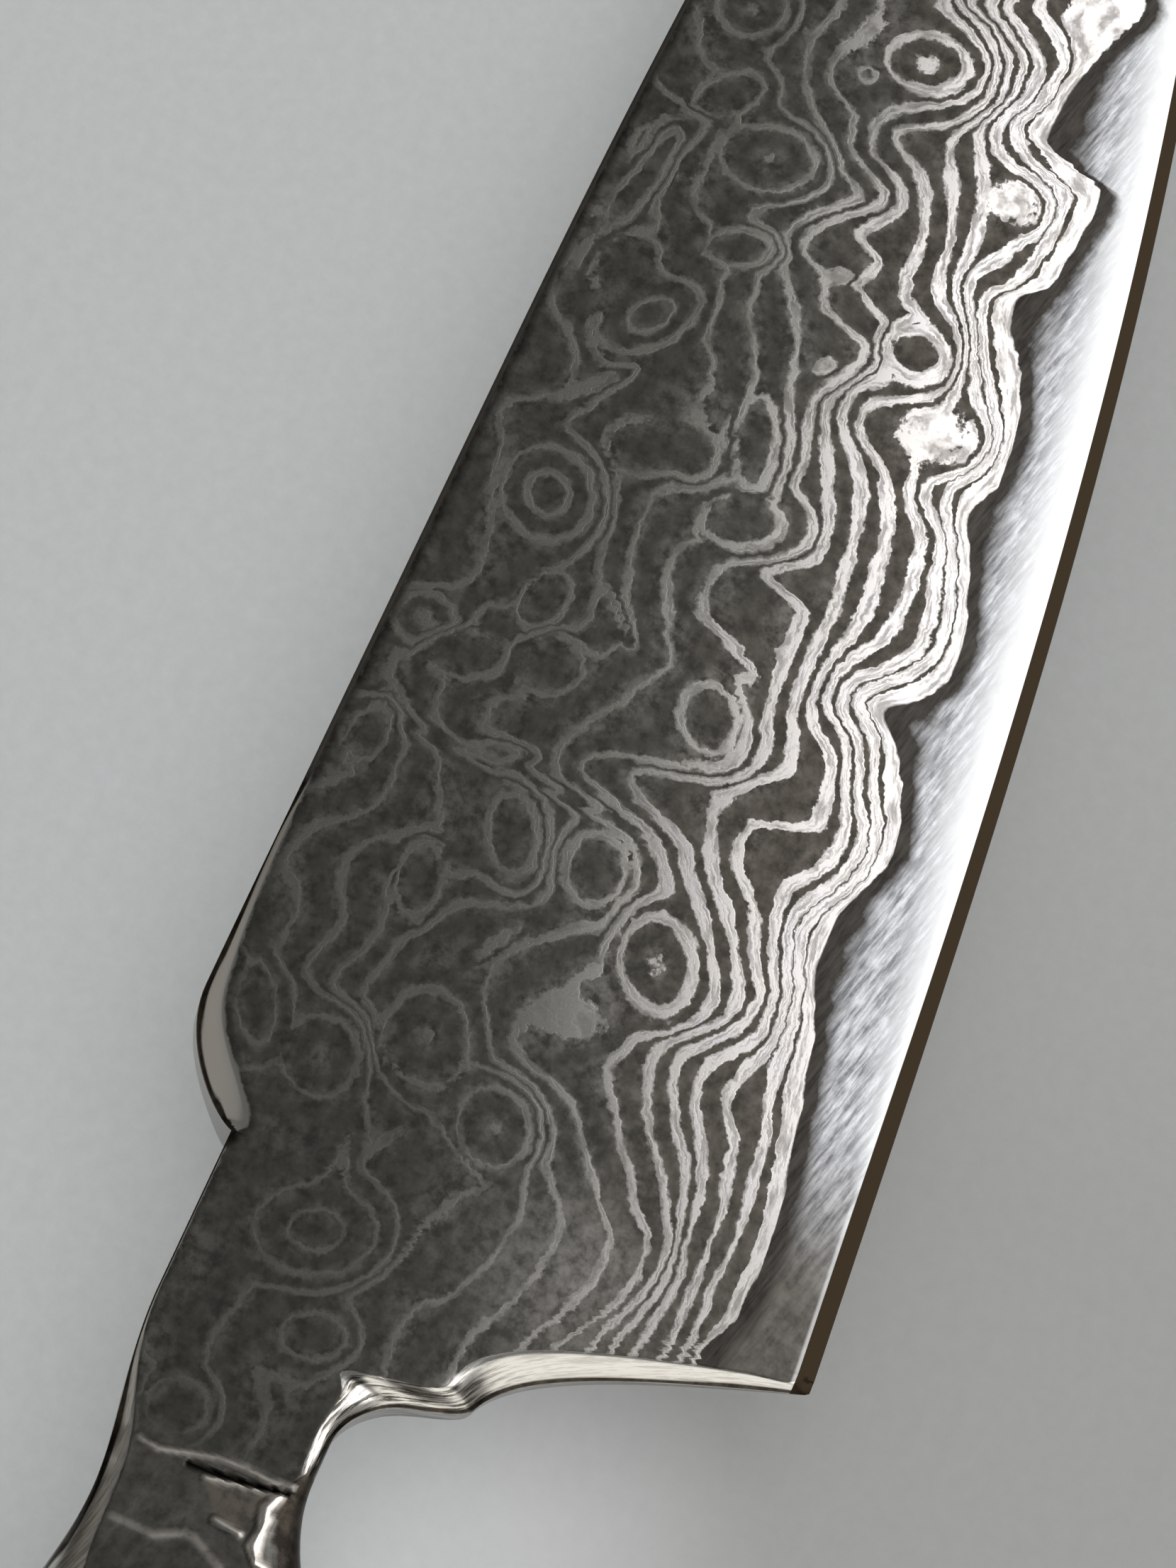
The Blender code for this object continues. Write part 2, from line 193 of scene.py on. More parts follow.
def meshFrom(name, points, faces, material, sharp=35):
    # a smooth piece from points and faces with equally many corners, its edges sharp past an angle
    mesh = bpy.data.meshes.new(name)
    mesh.vertices.add(len(points))
    mesh.vertices.foreach_set("co", np.ascontiguousarray(points, np.float32).ravel())
    mesh.loops.add(faces.size)
    mesh.loops.foreach_set("vertex_index", np.ascontiguousarray(faces, np.int32).ravel())
    mesh.polygons.add(len(faces))
    mesh.polygons.foreach_set("loop_start", np.arange(0, faces.size, faces.shape[1], dtype=np.int32))
    mesh.update(calc_edges=True)
    mesh.validate()
    mesh.shade_smooth()
    mesh.set_sharp_from_angle(angle=math.radians(sharp))
    mesh.materials.append(material)
    piece = bpy.data.objects.new(name, mesh)
    bpy.context.scene.collection.objects.link(piece)
    return piece


def tubeMesh(name, points, material, sharp=35):
    # a closed tube from a grid of points: rows of rings, each ring closed on itself, and the two end
    # rings filled by strips that join the ring's first half to its second half
    rows, sides = points.shape[:2]
    index = np.arange(rows * sides).reshape(rows, sides)
    beside = np.roll(index, -1, axis=1)
    quads = np.stack([index[:-1], beside[:-1], beside[1:], index[1:]], axis=-1).reshape(-1, 4)
    left = np.arange(sides // 2)
    right = sides - 1 - left
    for ring, flip in ((index[0], False), (index[-1], True)):
        strip = np.stack([ring[left[:-1]], ring[right[:-1]], ring[right[1:]], ring[left[1:]]], axis=-1)
        quads = np.concatenate([quads, strip[:, ::-1] if flip else strip])
    return meshFrom(name, points.reshape(-1, 3), quads, material, sharp)


def addAttribute(piece, name, values):
    layer = piece.data.attributes.new(name, "FLOAT", "POINT")
    layer.data.foreach_set("value", np.ascontiguousarray(values, np.float32).ravel())


def seat(piece, node):
    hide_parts(node)
    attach(piece, "root")


# Camera at the photograph's view: over the front of the grip, looking ahead and down at the heel

view = {
    "location": (-27.209 * mm, 5.264 * mm, 140.961 * mm),
    "turnDegrees": (19.827, -9.731, -67.307),
    "lens": 100,
    "sensor": 36,
    "frameWidth": 1659,
    "frameHeight": 2212,
}
cameraData = bpy.data.cameras.new("camera")
cameraData.lens = view["lens"]
cameraData.sensor_width = view["sensor"]
cameraData.clip_start = 10 * mm
camera = bpy.data.objects.new("camera", cameraData)
camera.location = view["location"]
camera.rotation_euler = [math.radians(a) for a in view["turnDegrees"]]
bpy.context.scene.collection.objects.link(camera)
bpy.context.scene.camera = camera
bpy.context.scene.view_settings.view_transform = "Standard"
print("camera set")

# Blade: the CAD's own lengths, with heights measured up from the heel's corner

bladeLow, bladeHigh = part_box("blade")
blade = {
    "length": 91.0 * mm,
    "height": 23.1 * mm,
    "spine": 2.4 * mm,
    "tip": 1.0 * mm,
    "edge": 0.1 * mm,
    "bevel": 0.6 * mm,
    "bevelNarrowing": 0.12,         # share lost over the run, from its start ahead of the heel
    "bevelStart": 4.0 * mm,
    "bevelRun": 14.0 * mm,
    "ground": 0.4 * mm,
    "grind": 15.0 * mm,
    "grindShare": 0.75,
    "grindCurve": 1.7,
    "edgeLinear": 0.3,
    "straight": 28.0 * mm,
    "drop": 5.0 * mm,
    "spineCurve": 2.2,
    "tipHeight": 0.4 * mm,
    "chamfer": 0.18 * mm,
    "chamferLost": 0.6,             # share of it lost behind the shoulder, over the run
    "chamferRun": 0.8 * mm,
    "chamferPower": 1.25,
    "chamferDepth": 0.6,            # share of its width, and of the half thickness at most
    "chamferMost": 0.7,
    "cornerMost": 0.6,
    "chamferHeight": 0.3,           # share of the height at most
    "leanMost": 3.2,
    "crescent": 0.90 * mm,          # extra width of the worn chamfer round the shoulder
    "crescentPeak": 1.7 * mm,       # ahead of the shoulder's end
    "neckBand": 0.50 * mm,          # and along the top of the neck, at the bolster's front
    "neckBandMiddle": -11.3 * mm,
    "neckBandHalf": 2.4 * mm,
    "shoulderFront": 3.5 * mm,
    "shoulderLength": 4.2 * mm,
    "shoulderStep": 2.75 * mm,
    "shoulderCurve": 0.8,
    "heelFlat": 0.45 * mm,
    "cusp": 6.0 * mm,
    "cuspBelowNeck": 3.6 * mm,
    "neckArc": 2.5 * mm,
    "choilRound": 1.05 * mm,
    "choilHeel": 0.42,              # share of it at the heel, growing over the run
    "choilRun": 4.5 * mm,
    "archLost": 0.5,                # share of it lost from here before the cusp, up the arc
    "archBefore": 0.5 * mm,
    "roundStart": 7.5 * mm,         # behind the heel, where the lower chamfer turns to a round
    "roundRun": 2.5 * mm,
    "belly": 0.8 * mm,              # extra rounding under the bolster
    "bellyRun": 3.0 * mm,
    "neck": 10.3 * mm,
    "neckHeight": 6.95 * mm,
    "waist": 0.8 * mm,
    "waistSetback": 6.2 * mm,
    "bellySetback": 9.7 * mm,
    "bolster": 13.7 * mm,
    "step": 0.3 * mm,
    "shelf": 1.5 * mm,
    "rowsCorner": 7,
    "rowsBody": 68,
    "rowsPull": 0.04,               # rows closer where the lines are close
}
blade["rise"] = blade["height"] - blade["drop"] - blade["tipHeight"]
blade["neckTop"] = blade["height"] - blade["shoulderStep"]
blade["neckBottom"] = blade["neckTop"] - blade["neckHeight"]
blade["cuspHeight"] = blade["neckBottom"] - blade["cuspBelowNeck"]
blade["back"] = blade["neck"] + blade["bolster"]
tangStart = -blade["back"] - 0.02 * mm      # just behind the bolster's back face
heelX = bladeHigh.x - blade["length"]
heelY = bladeLow.y
middleZ = (bladeLow.z + bladeHigh.z) / 2

handle = {
    "length": 90.0 * mm,
    "height": 15.6 * mm,
    "thickness": 12.0 * mm,
    "arch": 0.9 * mm,
    "wave": 0.9 * mm,
    "fall": 0.5 * mm,
    "corner": 3.0 * mm,
    "butt": 11.0 * mm,
    "buttCurve": 3,
    "buttSweep": 2.2,
    "lastAngle": 1.54,
    "gap": 0.3 * mm,
    "glueLine": 0.03 * mm,
    "linerOuter": 2.3 * mm,
    "rowsCorner": 10,
    "rowsBody": 18,
}
handle["tangHalf"] = blade["spine"] / 2
handle["bottom"] = blade["neckTop"] - handle["height"]
handle["end"] = -blade["back"] - handle["gap"] - handle["length"]


def edgeLine(ahead):
    # cutting edge: a straight and a cubic part of the way to the tip
    share = np.clip(ahead / blade["length"], 0, 1)
    return blade["rise"] * (blade["edgeLinear"] * share + (1 - blade["edgeLinear"]) * share ** 3)


def handleShare(ahead):
    # 0 at the bolster's back to 1 at the butt's end
    return np.clip((-ahead - blade["back"]) / handle["length"], 0, 1)


def buttTaper(ahead):
    # superellipse round the end of the butt
    into = np.clip((handle["end"] - ahead) / handle["butt"] + 1, 0, 1)
    return (1 - into ** handle["buttCurve"]) ** (1 / handle["buttSweep"])


def buttPlaces(count):
    # places round the butt at even angles, down to almost no height at its end
    share = np.cos(np.linspace(0, handle["lastAngle"], count))
    into = (1 - share ** handle["buttSweep"]) ** (1 / handle["buttCurve"])
    return handle["end"] + handle["butt"] * (1 - into)


def handleMiddle(ahead):
    # middle height of the grip: a straight line that falls to the butt
    return blade["neckTop"] - handle["height"] / 2 - handle["fall"] * handleShare(ahead)


def topLine(ahead):
    # spine straight then dropping by a power; the shoulder a cosine; the neck and handle a shallow wave
    share = (ahead - blade["straight"]) / (blade["length"] - blade["straight"])
    spine = blade["height"] - blade["drop"] * np.clip(share, 0, 1) ** blade["spineCurve"]
    turn = np.clip((blade["shoulderFront"] - ahead) / blade["shoulderLength"], 0, 1) * math.pi / 2
    shoulder = blade["neckTop"] + blade["shoulderStep"] * np.abs(np.cos(turn)) ** blade["shoulderCurve"]
    waist = blade["waist"] * np.sin(math.pi * ease((-ahead - blade["waistSetback"]) / blade["bolster"]))
    back = blade["neckTop"] - waist + handle["arch"] * np.sin(math.pi * handleShare(ahead))
    back = handleMiddle(ahead) + (back - handleMiddle(ahead)) * buttTaper(ahead)
    front = np.where(ahead > blade["shoulderFront"], spine, shoulder)
    return np.where(ahead > blade["shoulderFront"] - blade["shoulderLength"], front, back)


def sharpBottom(ahead):
    # cutting edge; then two quarter ellipses up the choil; then a half cosine down to the grip's wave
    behind = -ahead
    first = np.clip((behind - blade["heelFlat"]) / (blade["cusp"] - blade["heelFlat"]), 0, 1)
    second = 1 - np.clip((behind - blade["cusp"]) / blade["neckArc"], 0, 1)
    choil = blade["cuspHeight"] * np.sin(first * math.pi / 2)
    choil = choil + blade["cuspBelowNeck"] * np.sqrt(1 - second ** 2)
    fall = np.clip((behind - blade["bellySetback"]) / (blade["back"] - blade["bellySetback"]), 0, 1)
    bottom = choil - (blade["neckBottom"] - handle["bottom"]) * (1 - np.cos(math.pi * fall)) / 2
    bottom = bottom + handle["wave"] * np.sin(2 * math.pi * handleShare(ahead))
    taper = buttTaper(ahead)
    bottom = np.where(taper < 1, handleMiddle(ahead) + (bottom - handleMiddle(ahead)) * taper, bottom)
    return np.where(ahead >= 0, edgeLine(ahead), bottom)


def bottomLine(ahead):
    # the cusp between the two ellipses is worn round: within about 2 mm of it, an average over 1.2 mm
    fine = np.arange(-12, -1, 0.04) * mm
    worn = np.interp(ahead, fine, evened(sharpBottom(fine), 31))
    near = ease(2.2 - np.abs(ahead + blade["cusp"]) / mm)
    return sharpBottom(ahead) * (1 - near) + worn * near


def bevelHeight(ahead):
    # height of the sharpening bevel, eased to its narrower width
    run = (blade["bevelStart"], blade["bevelRun"], blade["bevelNarrowing"])
    return blade["bevel"] * (1 - grown(ahead, *run))


def grindHalf(ahead, height):
    # half thickness: tapered to the tip, a convex power curve up from the bevel, a flat bevel below it
    spine = (blade["spine"] + (blade["tip"] - blade["spine"]) * ease(ahead / blade["length"])) / 2
    width = np.minimum(blade["grind"], blade["grindShare"] * (topLine(ahead) - bottomLine(ahead)))
    width = np.where(ahead > 0, np.maximum(width, 0.001 * mm), blade["grind"])
    above = height - edgeLine(ahead)
    ground, edge = blade["ground"] / 2, blade["edge"] / 2
    bevel = bevelHeight(ahead)
    up = np.clip((above - bevel) / width, 0, 1)
    grind = ground + (spine - ground) * (1 - (1 - up) ** blade["grindCurve"])
    return np.where(above < bevel, edge + (ground - edge) * above / bevel, grind)


def bolsterHalf(ahead):
    # half thickness: a low worn step at the neck, and an eased flare from half way along its shelf
    back = -ahead - blade["neck"]
    start = blade["spine"] / 2 + blade["step"] * ease(back / blade["shelf"])
    flareStart = 0.5 * blade["shelf"]
    flare = ease((back - flareStart) / (blade["bolster"] - flareStart))
    return start + (handle["thickness"] / 2 - start) * flare


def lean(line):
    # how much longer a chamfer is along the height than square to the outline, evened over 1 mm
    places = np.arange(-116, 95, 0.05)
    steep = np.sqrt(1 + np.gradient(line(places * mm), places * mm) ** 2)
    return places * mm, evened(np.clip(steep, 1, blade["leanMost"]), 21)


def chamferWidth(ahead, atTop):
    # width of the worn chamfer square to the outline, growing to the grip's rounded corner
    back = ease((-ahead - blade["neck"]) / blade["bolster"])
    if atTop:
        past = (ahead - blade["shoulderFront"] + blade["shoulderLength"]) / blade["crescentPeak"]
        shoulder = blade["crescent"] * np.clip(past, 0, None) * np.exp(1 - np.clip(past, 0, None))
        neck = blade["neckBand"] * bell((ahead - blade["neckBandMiddle"]) / blade["neckBandHalf"])
        thin = ease((blade["shoulderFront"] - blade["shoulderLength"] - ahead) / blade["chamferRun"] + 0.5)
        front = blade["chamfer"] * (1 - blade["chamferLost"] * thin) + shoulder + neck
    else:
        share = blade["choilHeel"] + (1 - blade["choilHeel"]) * ease(-ahead / blade["choilRun"])
        arch = ease((-ahead - blade["cusp"] + blade["archBefore"]) / blade["neckArc"])
        front = blade["choilRound"] * share * (1 - blade["archLost"] * arch)
        front = front + blade["belly"] * ease((-ahead - blade["bellySetback"]) / blade["bellyRun"])
    return front + (handle["corner"] - front) * back


def chamfered(half, width, share, back):
    # a chamfer that falls by a power of the share of the way out, turning to a quarter ellipse at the grip
    deep = np.minimum(blade["chamferDepth"] * width, blade["chamferMost"] * half)
    worn = deep * share ** blade["chamferPower"]
    full = np.minimum(width, blade["cornerMost"] * half) * (1 - np.sqrt(1 - share ** 2))
    return half - worn - (full - worn) * back


def sectionHeights(ahead, rowsCorner, rowsBody, pull=0.0):
    # heights of one section's points: fine rows in both chamfers, and rows between them that are even,
    # or pulled towards the middle: share + pull sin(2 pi share)
    bottom, top = bottomLine(ahead)[:, None], topLine(ahead)[:, None]
    reach = blade["chamferHeight"] * (top - bottom)
    lowCorner = chamferWidth(ahead, False) * np.interp(ahead, *lean(bottomLine))
    highCorner = chamferWidth(ahead, True) * np.interp(ahead, *lean(topLine))
    lowCorner = np.where(ahead < 0, lowCorner, bevelHeight(ahead))
    lowCorner = np.minimum(lowCorner[:, None], reach)
    highCorner = np.minimum(highCorner[:, None], reach)
    bend = 1 - np.cos(np.linspace(0, math.pi / 2, rowsCorner + 1))
    even = np.linspace(0, 1, rowsCorner + 1)
    lower = bottom + lowCorner * (bend + even) / 2
    upper = top - highCorner * (bend + even)[::-1] / 2
    share = np.linspace(0, 1, rowsBody + 2)[1:-1]
    share = share + pull * np.sin(2 * math.pi * share)
    body = lower[:, -1:] + (upper[:, :1] - lower[:, -1:]) * share
    return np.concatenate([lower, body, upper], axis=1), lowCorner, highCorner


def forgedHalf(ahead, heights, lowCorner, highCorner):
    # half thickness: the ground blade, or the bolster behind the neck, less the chamfers at top and bottom
    column = ahead[:, None]
    back = ease((-column - blade["neck"]) / blade["bolster"])
    half = np.where(column < -blade["neck"], bolsterHalf(column), grindHalf(column, heights))
    upper = 1 - np.clip((heights[:, -1:] - heights) / highCorner, 0, 1)
    lower = 1 - np.clip((heights - heights[:, :1]) / lowCorner, 0, 1)
    rounded = np.maximum(back, ease((-column - blade["roundStart"]) / blade["roundRun"]))
    half = chamfered(half, chamferWidth(column, True), upper, back)
    return np.where(column < 0, chamfered(half, chamferWidth(column, False), lower, rounded), half)


def ringPoints(ahead, heights, upper, lower):
    # rings of points: up the upper face, back down the lower face
    x = np.repeat(heelX + ahead[:, None], 2 * heights.shape[1], axis=1)
    y = heelY + np.concatenate([heights, heights[:, ::-1]], axis=1)
    z = middleZ + np.concatenate([upper, lower[:, ::-1]], axis=1)
    return np.stack([x, y, z], axis=-1)


def bladePlaces():
    # sections 0.2 mm apart where the pattern is finest, closer at the heel, choil and shoulder, and one
    # just beside each step
    back = -blade["back"]
    tang = np.linspace(handle["end"] + handle["butt"], back - 0.03 * mm, 24)[1:]
    bolster = np.linspace(back, -blade["neck"] - 6 * mm, 40)
    front = np.linspace(-blade["neck"] - 6 * mm, -blade["neck"], 66)[1:]
    neck = np.linspace(-blade["neck"], -blade["cusp"] - blade["neckArc"], 12)[1:]
    arc = -blade["cusp"] - blade["neckArc"] * (1 - np.cos(np.linspace(0.02, math.pi / 2, 20)))
    choil = -blade["heelFlat"] - (blade["cusp"] - blade["heelFlat"]) * np.sin(np.linspace(0.02, 1.55, 32))
    shoulder = blade["shoulderFront"] - blade["shoulderLength"] * np.sin(np.linspace(0, math.pi / 2, 26))
    after = [blade["shoulderFront"] - blade["shoulderLength"] - 0.03 * mm, -0.2 * mm, 0]
    face = np.linspace(blade["shoulderFront"], 56 * mm, 250)
    far = np.linspace(56 * mm, blade["length"] * 0.97, 75)
    point = np.linspace(blade["length"] * 0.97, blade["length"], 15)
    places = [buttPlaces(32), tang, bolster, front, neck, arc, choil, shoulder, after, face, far, point]
    places = np.sort(np.concatenate(places))
    return places[np.append(np.diff(places) > 0.006 * mm, True)][::-1]


# The pattern, read in the photograph, in its pixels. The cladding ends on the core along a wavy line, with
# eight bright layers above it, and hammer marks ring the layers in the flat.

pattern = {
    "coreLine": [
        (1626, 0), (1586, 40), (1506, 132), (1480, 182), (1478, 200), (1552, 237), (1562, 253),
        (1559, 272), (1540, 310), (1506, 367), (1488, 396),
        (1437, 410), (1428, 448), (1445, 505), (1445, 568), (1434, 625), (1414, 677), (1391, 697),
        (1368, 717), (1374, 775), (1371, 838), (1368, 890), (1352, 940), (1331, 964), (1300, 982),
        (1247, 995), (1269, 1050),
        (1278, 1130), (1265, 1200), (1221, 1250), (1182, 1290), (1156, 1350), (1154, 1450), (1137, 1550),
        (1117, 1650), (1092, 1750), (1047, 1850), (980, 1916),
    ],
    # the core line past the photograph's edge: ahead and above the heel, in mm
    "coreBeyond": [
        (55.0, 9.3), (58.0, 8.9), (61.0, 10.2), (64.0, 9.8), (67.0, 11.2), (70.0, 11.0), (73.0, 12.6),
        (76.0, 12.6), (79.0, 14.2), (82.0, 14.8), (85.0, 16.2), (92.0, 19.6),
    ],
    # the bright lines above the core line, nearest first
    "lines": [
        [
            (1470, 0), (1500, 45), (1508, 85), (1480, 135), (1441, 170), (1443, 200), (1475, 232),
            (1513, 258), (1500, 300), (1475, 350), (1436, 393), (1396, 412), (1391, 450), (1393, 500),
            (1405, 550), (1403, 600), (1375, 650), (1345, 690), (1345, 750), (1348, 800), (1345, 850),
            (1335, 900), (1290, 945), (1235, 965), (1212, 985), (1221, 1000), (1240, 1050), (1235, 1100),
            (1243, 1150), (1235, 1200), (1200, 1250), (1150, 1288), (1134, 1310), (1130, 1350),
            (1130, 1400), (1118, 1450), (1101, 1500), (1091, 1550), (1086, 1600), (1072, 1650),
            (1058, 1700), (1040, 1750), (1014, 1800), (997, 1850), (975, 1900),
        ],
        [
            (1425, 0), (1448, 40), (1472, 86), (1455, 122), (1425, 152), (1406, 180), (1412, 212),
            (1455, 244), (1480, 272), (1467, 310), (1440, 335), (1412, 358), (1375, 382), (1368, 410),
            (1374, 450), (1376, 500), (1380, 550), (1390, 600), (1380, 640), (1340, 660), (1312, 675),
            (1305, 700), (1320, 725), (1335, 760), (1325, 800), (1320, 850), (1305, 900), (1250, 940),
            (1205, 957), (1190, 975), (1189, 1000), (1211, 1040), (1215, 1080), (1212, 1120),
            (1222, 1160), (1215, 1195), (1171, 1250), (1135, 1275), (1118, 1300), (1113, 1350),
            (1113, 1400), (1100, 1450), (1062, 1500), (1028, 1545), (1035, 1590), (1040, 1610),
            (1029, 1650), (1024, 1700), (1005, 1750), (986, 1800), (965, 1850), (947, 1900),
        ],
        [
            (1400, 0), (1425, 35), (1449, 86), (1436, 122), (1404, 153), (1383, 178), (1383, 205),
            (1392, 250), (1386, 300), (1371, 350), (1356, 385), (1356, 420), (1364, 450), (1366, 490),
            (1360, 520), (1345, 550), (1330, 580), (1310, 620), (1298, 645), (1288, 680), (1290, 710),
            (1303, 745), (1300, 780), (1290, 820), (1275, 860), (1245, 900), (1208, 920), (1183, 945),
            (1172, 972), (1169, 1000), (1195, 1030), (1199, 1060), (1195, 1100), (1197, 1150),
            (1190, 1190), (1150, 1232), (1115, 1246), (1105, 1270), (1097, 1300), (1094, 1350),
            (1094, 1400), (1079, 1450), (1050, 1475), (1010, 1492), (993, 1510), (981, 1550),
            (988, 1600), (992, 1650), (985, 1700), (968, 1750), (960, 1800), (932, 1850), (899, 1900),
        ],
        [
            (1370, 0), (1402, 28), (1420, 55), (1429, 86), (1420, 125), (1388, 160), (1352, 186),
            (1342, 205), (1347, 250), (1346, 300), (1340, 350), (1330, 380), (1327, 410), (1345, 435),
            (1357, 465), (1355, 500), (1340, 535), (1305, 562), (1270, 561), (1240, 561), (1220, 577),
            (1216, 600), (1225, 625), (1250, 650), (1253, 700), (1254, 750), (1240, 800), (1230, 840),
            (1210, 880), (1185, 915), (1165, 945), (1150, 975), (1145, 1000), (1150, 1025), (1171, 1050),
            (1178, 1080), (1172, 1120), (1157, 1158), (1100, 1163), (1062, 1160), (1045, 1182),
            (1042, 1220), (1055, 1250), (1067, 1285), (1066, 1320), (1066, 1350), (1076, 1400),
            (1060, 1430), (1019, 1460), (985, 1475), (957, 1495), (950, 1520), (952, 1550), (957, 1600),
            (970, 1640), (965, 1700), (957, 1750), (940, 1800), (905, 1850), (866, 1895),
        ],
        [
            (1350, 0), (1385, 22), (1403, 55), (1411, 86), (1400, 128), (1360, 163), (1310, 176),
            (1275, 178), (1262, 192), (1280, 215), (1303, 245), (1307, 300), (1300, 350), (1282, 385),
            (1275, 410), (1285, 440), (1262, 470), (1250, 508), (1225, 532), (1200, 553), (1190, 580),
            (1193, 610), (1210, 650), (1217, 700), (1208, 750), (1194, 800), (1180, 850), (1158, 900),
            (1138, 950), (1120, 1000), (1120, 1050), (1115, 1080), (1080, 1096), (1040, 1110),
            (1010, 1140), (1005, 1180), (1005, 1220), (1010, 1250), (1025, 1280), (1033, 1320),
            (1042, 1370), (1045, 1400), (1030, 1430), (975, 1455), (935, 1472), (918, 1500), (914, 1550),
            (918, 1600), (935, 1650), (942, 1700), (946, 1750), (930, 1795), (895, 1840), (850, 1880),
        ],
        [
            (1330, 5), (1360, 28), (1380, 52), (1393, 86), (1386, 111), (1355, 131), (1300, 143),
            (1254, 155), (1236, 175), (1230, 195), (1236, 218), (1264, 243), (1274, 263), (1273, 288),
            (1245, 308), (1208, 330), (1226, 346), (1243, 366), (1228, 384), (1206, 402), (1213, 420),
            (1240, 430), (1253, 450), (1254, 480), (1235, 512), (1185, 550), (1166, 572), (1165, 600),
            (1167, 650), (1169, 700), (1168, 740), (1150, 785), (1100, 797), (1070, 812), (1110, 835),
            (1138, 860), (1118, 905), (1100, 950), (1086, 1000), (1082, 1050), (1065, 1080), (1040, 1098),
            (1000, 1104), (930, 1091), (888, 1090), (900, 1120), (925, 1150), (965, 1190), (970, 1230),
            (985, 1270), (990, 1300), (999, 1350), (1006, 1400), (995, 1428), (947, 1447), (905, 1455),
            (875, 1465), (858, 1500), (862, 1540), (870, 1580), (878, 1620), (893, 1660), (895, 1700),
            (918, 1745), (899, 1800), (865, 1845), (815, 1880), (770, 1910),
        ],
        [
            (1244, 0), (1224, 30), (1193, 61), (1173, 86), (1168, 103), (1183, 132), (1206, 154),
            (1204, 177), (1199, 202), (1214, 228), (1244, 258), (1249, 278), (1183, 304), (1143, 324),
            (1128, 344), (1135, 360), (1165, 385), (1163, 435), (1200, 463), (1220, 482), (1216, 507),
            (1190, 535), (1150, 562), (1140, 600), (1134, 650), (1118, 685), (1131, 702), (1150, 735),
            (1145, 757), (1100, 785), (1015, 797), (1000, 820), (990, 870), (992, 900), (1055, 925),
            (1072, 940), (1062, 965), (1058, 1000), (1057, 1050), (1045, 1075), (1000, 1090), (945, 1081),
            (880, 1068), (825, 1070), (812, 1090), (820, 1116), (850, 1130), (885, 1142), (915, 1170),
            (930, 1210), (935, 1250), (920, 1287), (870, 1328), (850, 1345), (800, 1395), (730, 1440),
            (718, 1475), (760, 1515), (800, 1545), (815, 1590), (830, 1640), (845, 1700), (862, 1750),
            (840, 1800), (800, 1850), (740, 1900),
        ],
        [
            (1190, 0), (1165, 30), (1148, 50), (1138, 90), (1137, 120), (1148, 150), (1160, 185),
            (1175, 235), (1203, 252), (1216, 272), (1183, 289), (1138, 305), (1108, 327), (1092, 347),
            (1100, 375), (1115, 410), (1122, 450), (1124, 500), (1113, 540), (1110, 570), (1116, 610),
            (1108, 650), (1085, 690), (1035, 706), (1000, 735), (955, 770), (943, 800), (940, 850),
            (943, 900), (952, 942), (915, 963), (880, 985), (850, 1003), (810, 1030), (790, 1060),
            (786, 1100), (800, 1130), (850, 1150), (885, 1162), (898, 1190), (903, 1220), (898, 1260),
            (880, 1295), (845, 1312), (770, 1325), (705, 1355), (678, 1400), (670, 1450), (682, 1492),
            (730, 1525), (765, 1560), (775, 1600), (768, 1645), (790, 1700), (785, 1750), (755, 1800),
            (710, 1850), (660, 1890),
        ],
    ],
    # centre x and y, half width, half height, turn in degrees, and rings: a half more adds a light middle,
    # below zero the layers dip instead of rise, and 0.5 alone is a light patch
    "marks": [
        (1311, 83, 57, 43, 0, 1.5), (1034, 128, 50, 27, 20, 1.0), (948, 190, 40, 24, 30, 1.5),
        (900, 262, 66, 20, 50, 1.0), (1085, 222, 66, 50, 0, 1.5), (885, 370, 52, 34, 40, 1.0),
        (918, 445, 80, 44, 30, 2.0), (1045, 348, 44, 28, 0, 1.0), (1434, 280, 50, 42, 0, 0.5),
        (1184, 386, 28, 16, 10, 0.5), (1296, 494, 40, 38, 0, 1.0), (1322, 612, 84, 52, 0, 0.5),
        (1068, 620, 66, 26, 80, 1.0), (903, 634, 44, 40, 0, 1.0), (975, 636, 32, 38, 0, 1.0),
        (1222, 102, 20, 16, 0, 0.5), (1164, 513, 26, 16, 20, 0.5), (1047, 738, 54, 34, 0, 1.0),
        (1062, 8, 50, 44, 20, 1.5), (772, 697, 64, 72, 0, 2.0), (597, 872, 42, 38, 0, 1.5),
        (657, 928, 50, 32, 0, 1.0), (768, 847, 46, 28, 45, 1.0), (777, 943, 44, 40, 30, 1.0),
        (1000, 1013, 40, 50, 0, -1.0), (722, 1180, 36, 62, 0, 1.0), (838, 1228, 44, 54, -10, -1.0),
        (926, 1358, 52, 70, 0, 1.5), (590, 1245, 30, 54, -15, 1.0), (870, 868, 56, 13, -70, 0.5),
        (452, 1492, 52, 60, -10, 1.5), (602, 1462, 58, 68, 0, 1.5), (697, 1592, 50, 56, 0, 1.5),
        (360, 1415, 28, 60, 0, 1.0), (445, 1737, 88, 66, 0, 2.0), (440, 1887, 48, 33, 0, 1.0),
        (805, 1440, 80, 48, -10, 0.5),
        (250, 1985, 44, 40, 0, 1.0), (520, 1035, 44, 26, 60, 1.0), (830, 545, 70, 16, 20, 0.5),
        (700, 1330, 60, 14, 35, 0.5), (480, 1640, 20, 60, -20, 0.5), (545, 1610, 50, 16, 30, 0.5),
        (700, 1060, 60, 18, -10, 0.5),
    ],
    "hazeCentre": [(775, 1790)],
    "hazeRadius": 2.9,          # mm
    "farMarks": 26,
    # past the photograph: ahead, above, half length and half height in mm, and turn, from and to
    "farRanges": [(53, 87), (11, 22), (0.7, 1.7), (0.5, 1.2), (0, 180)],
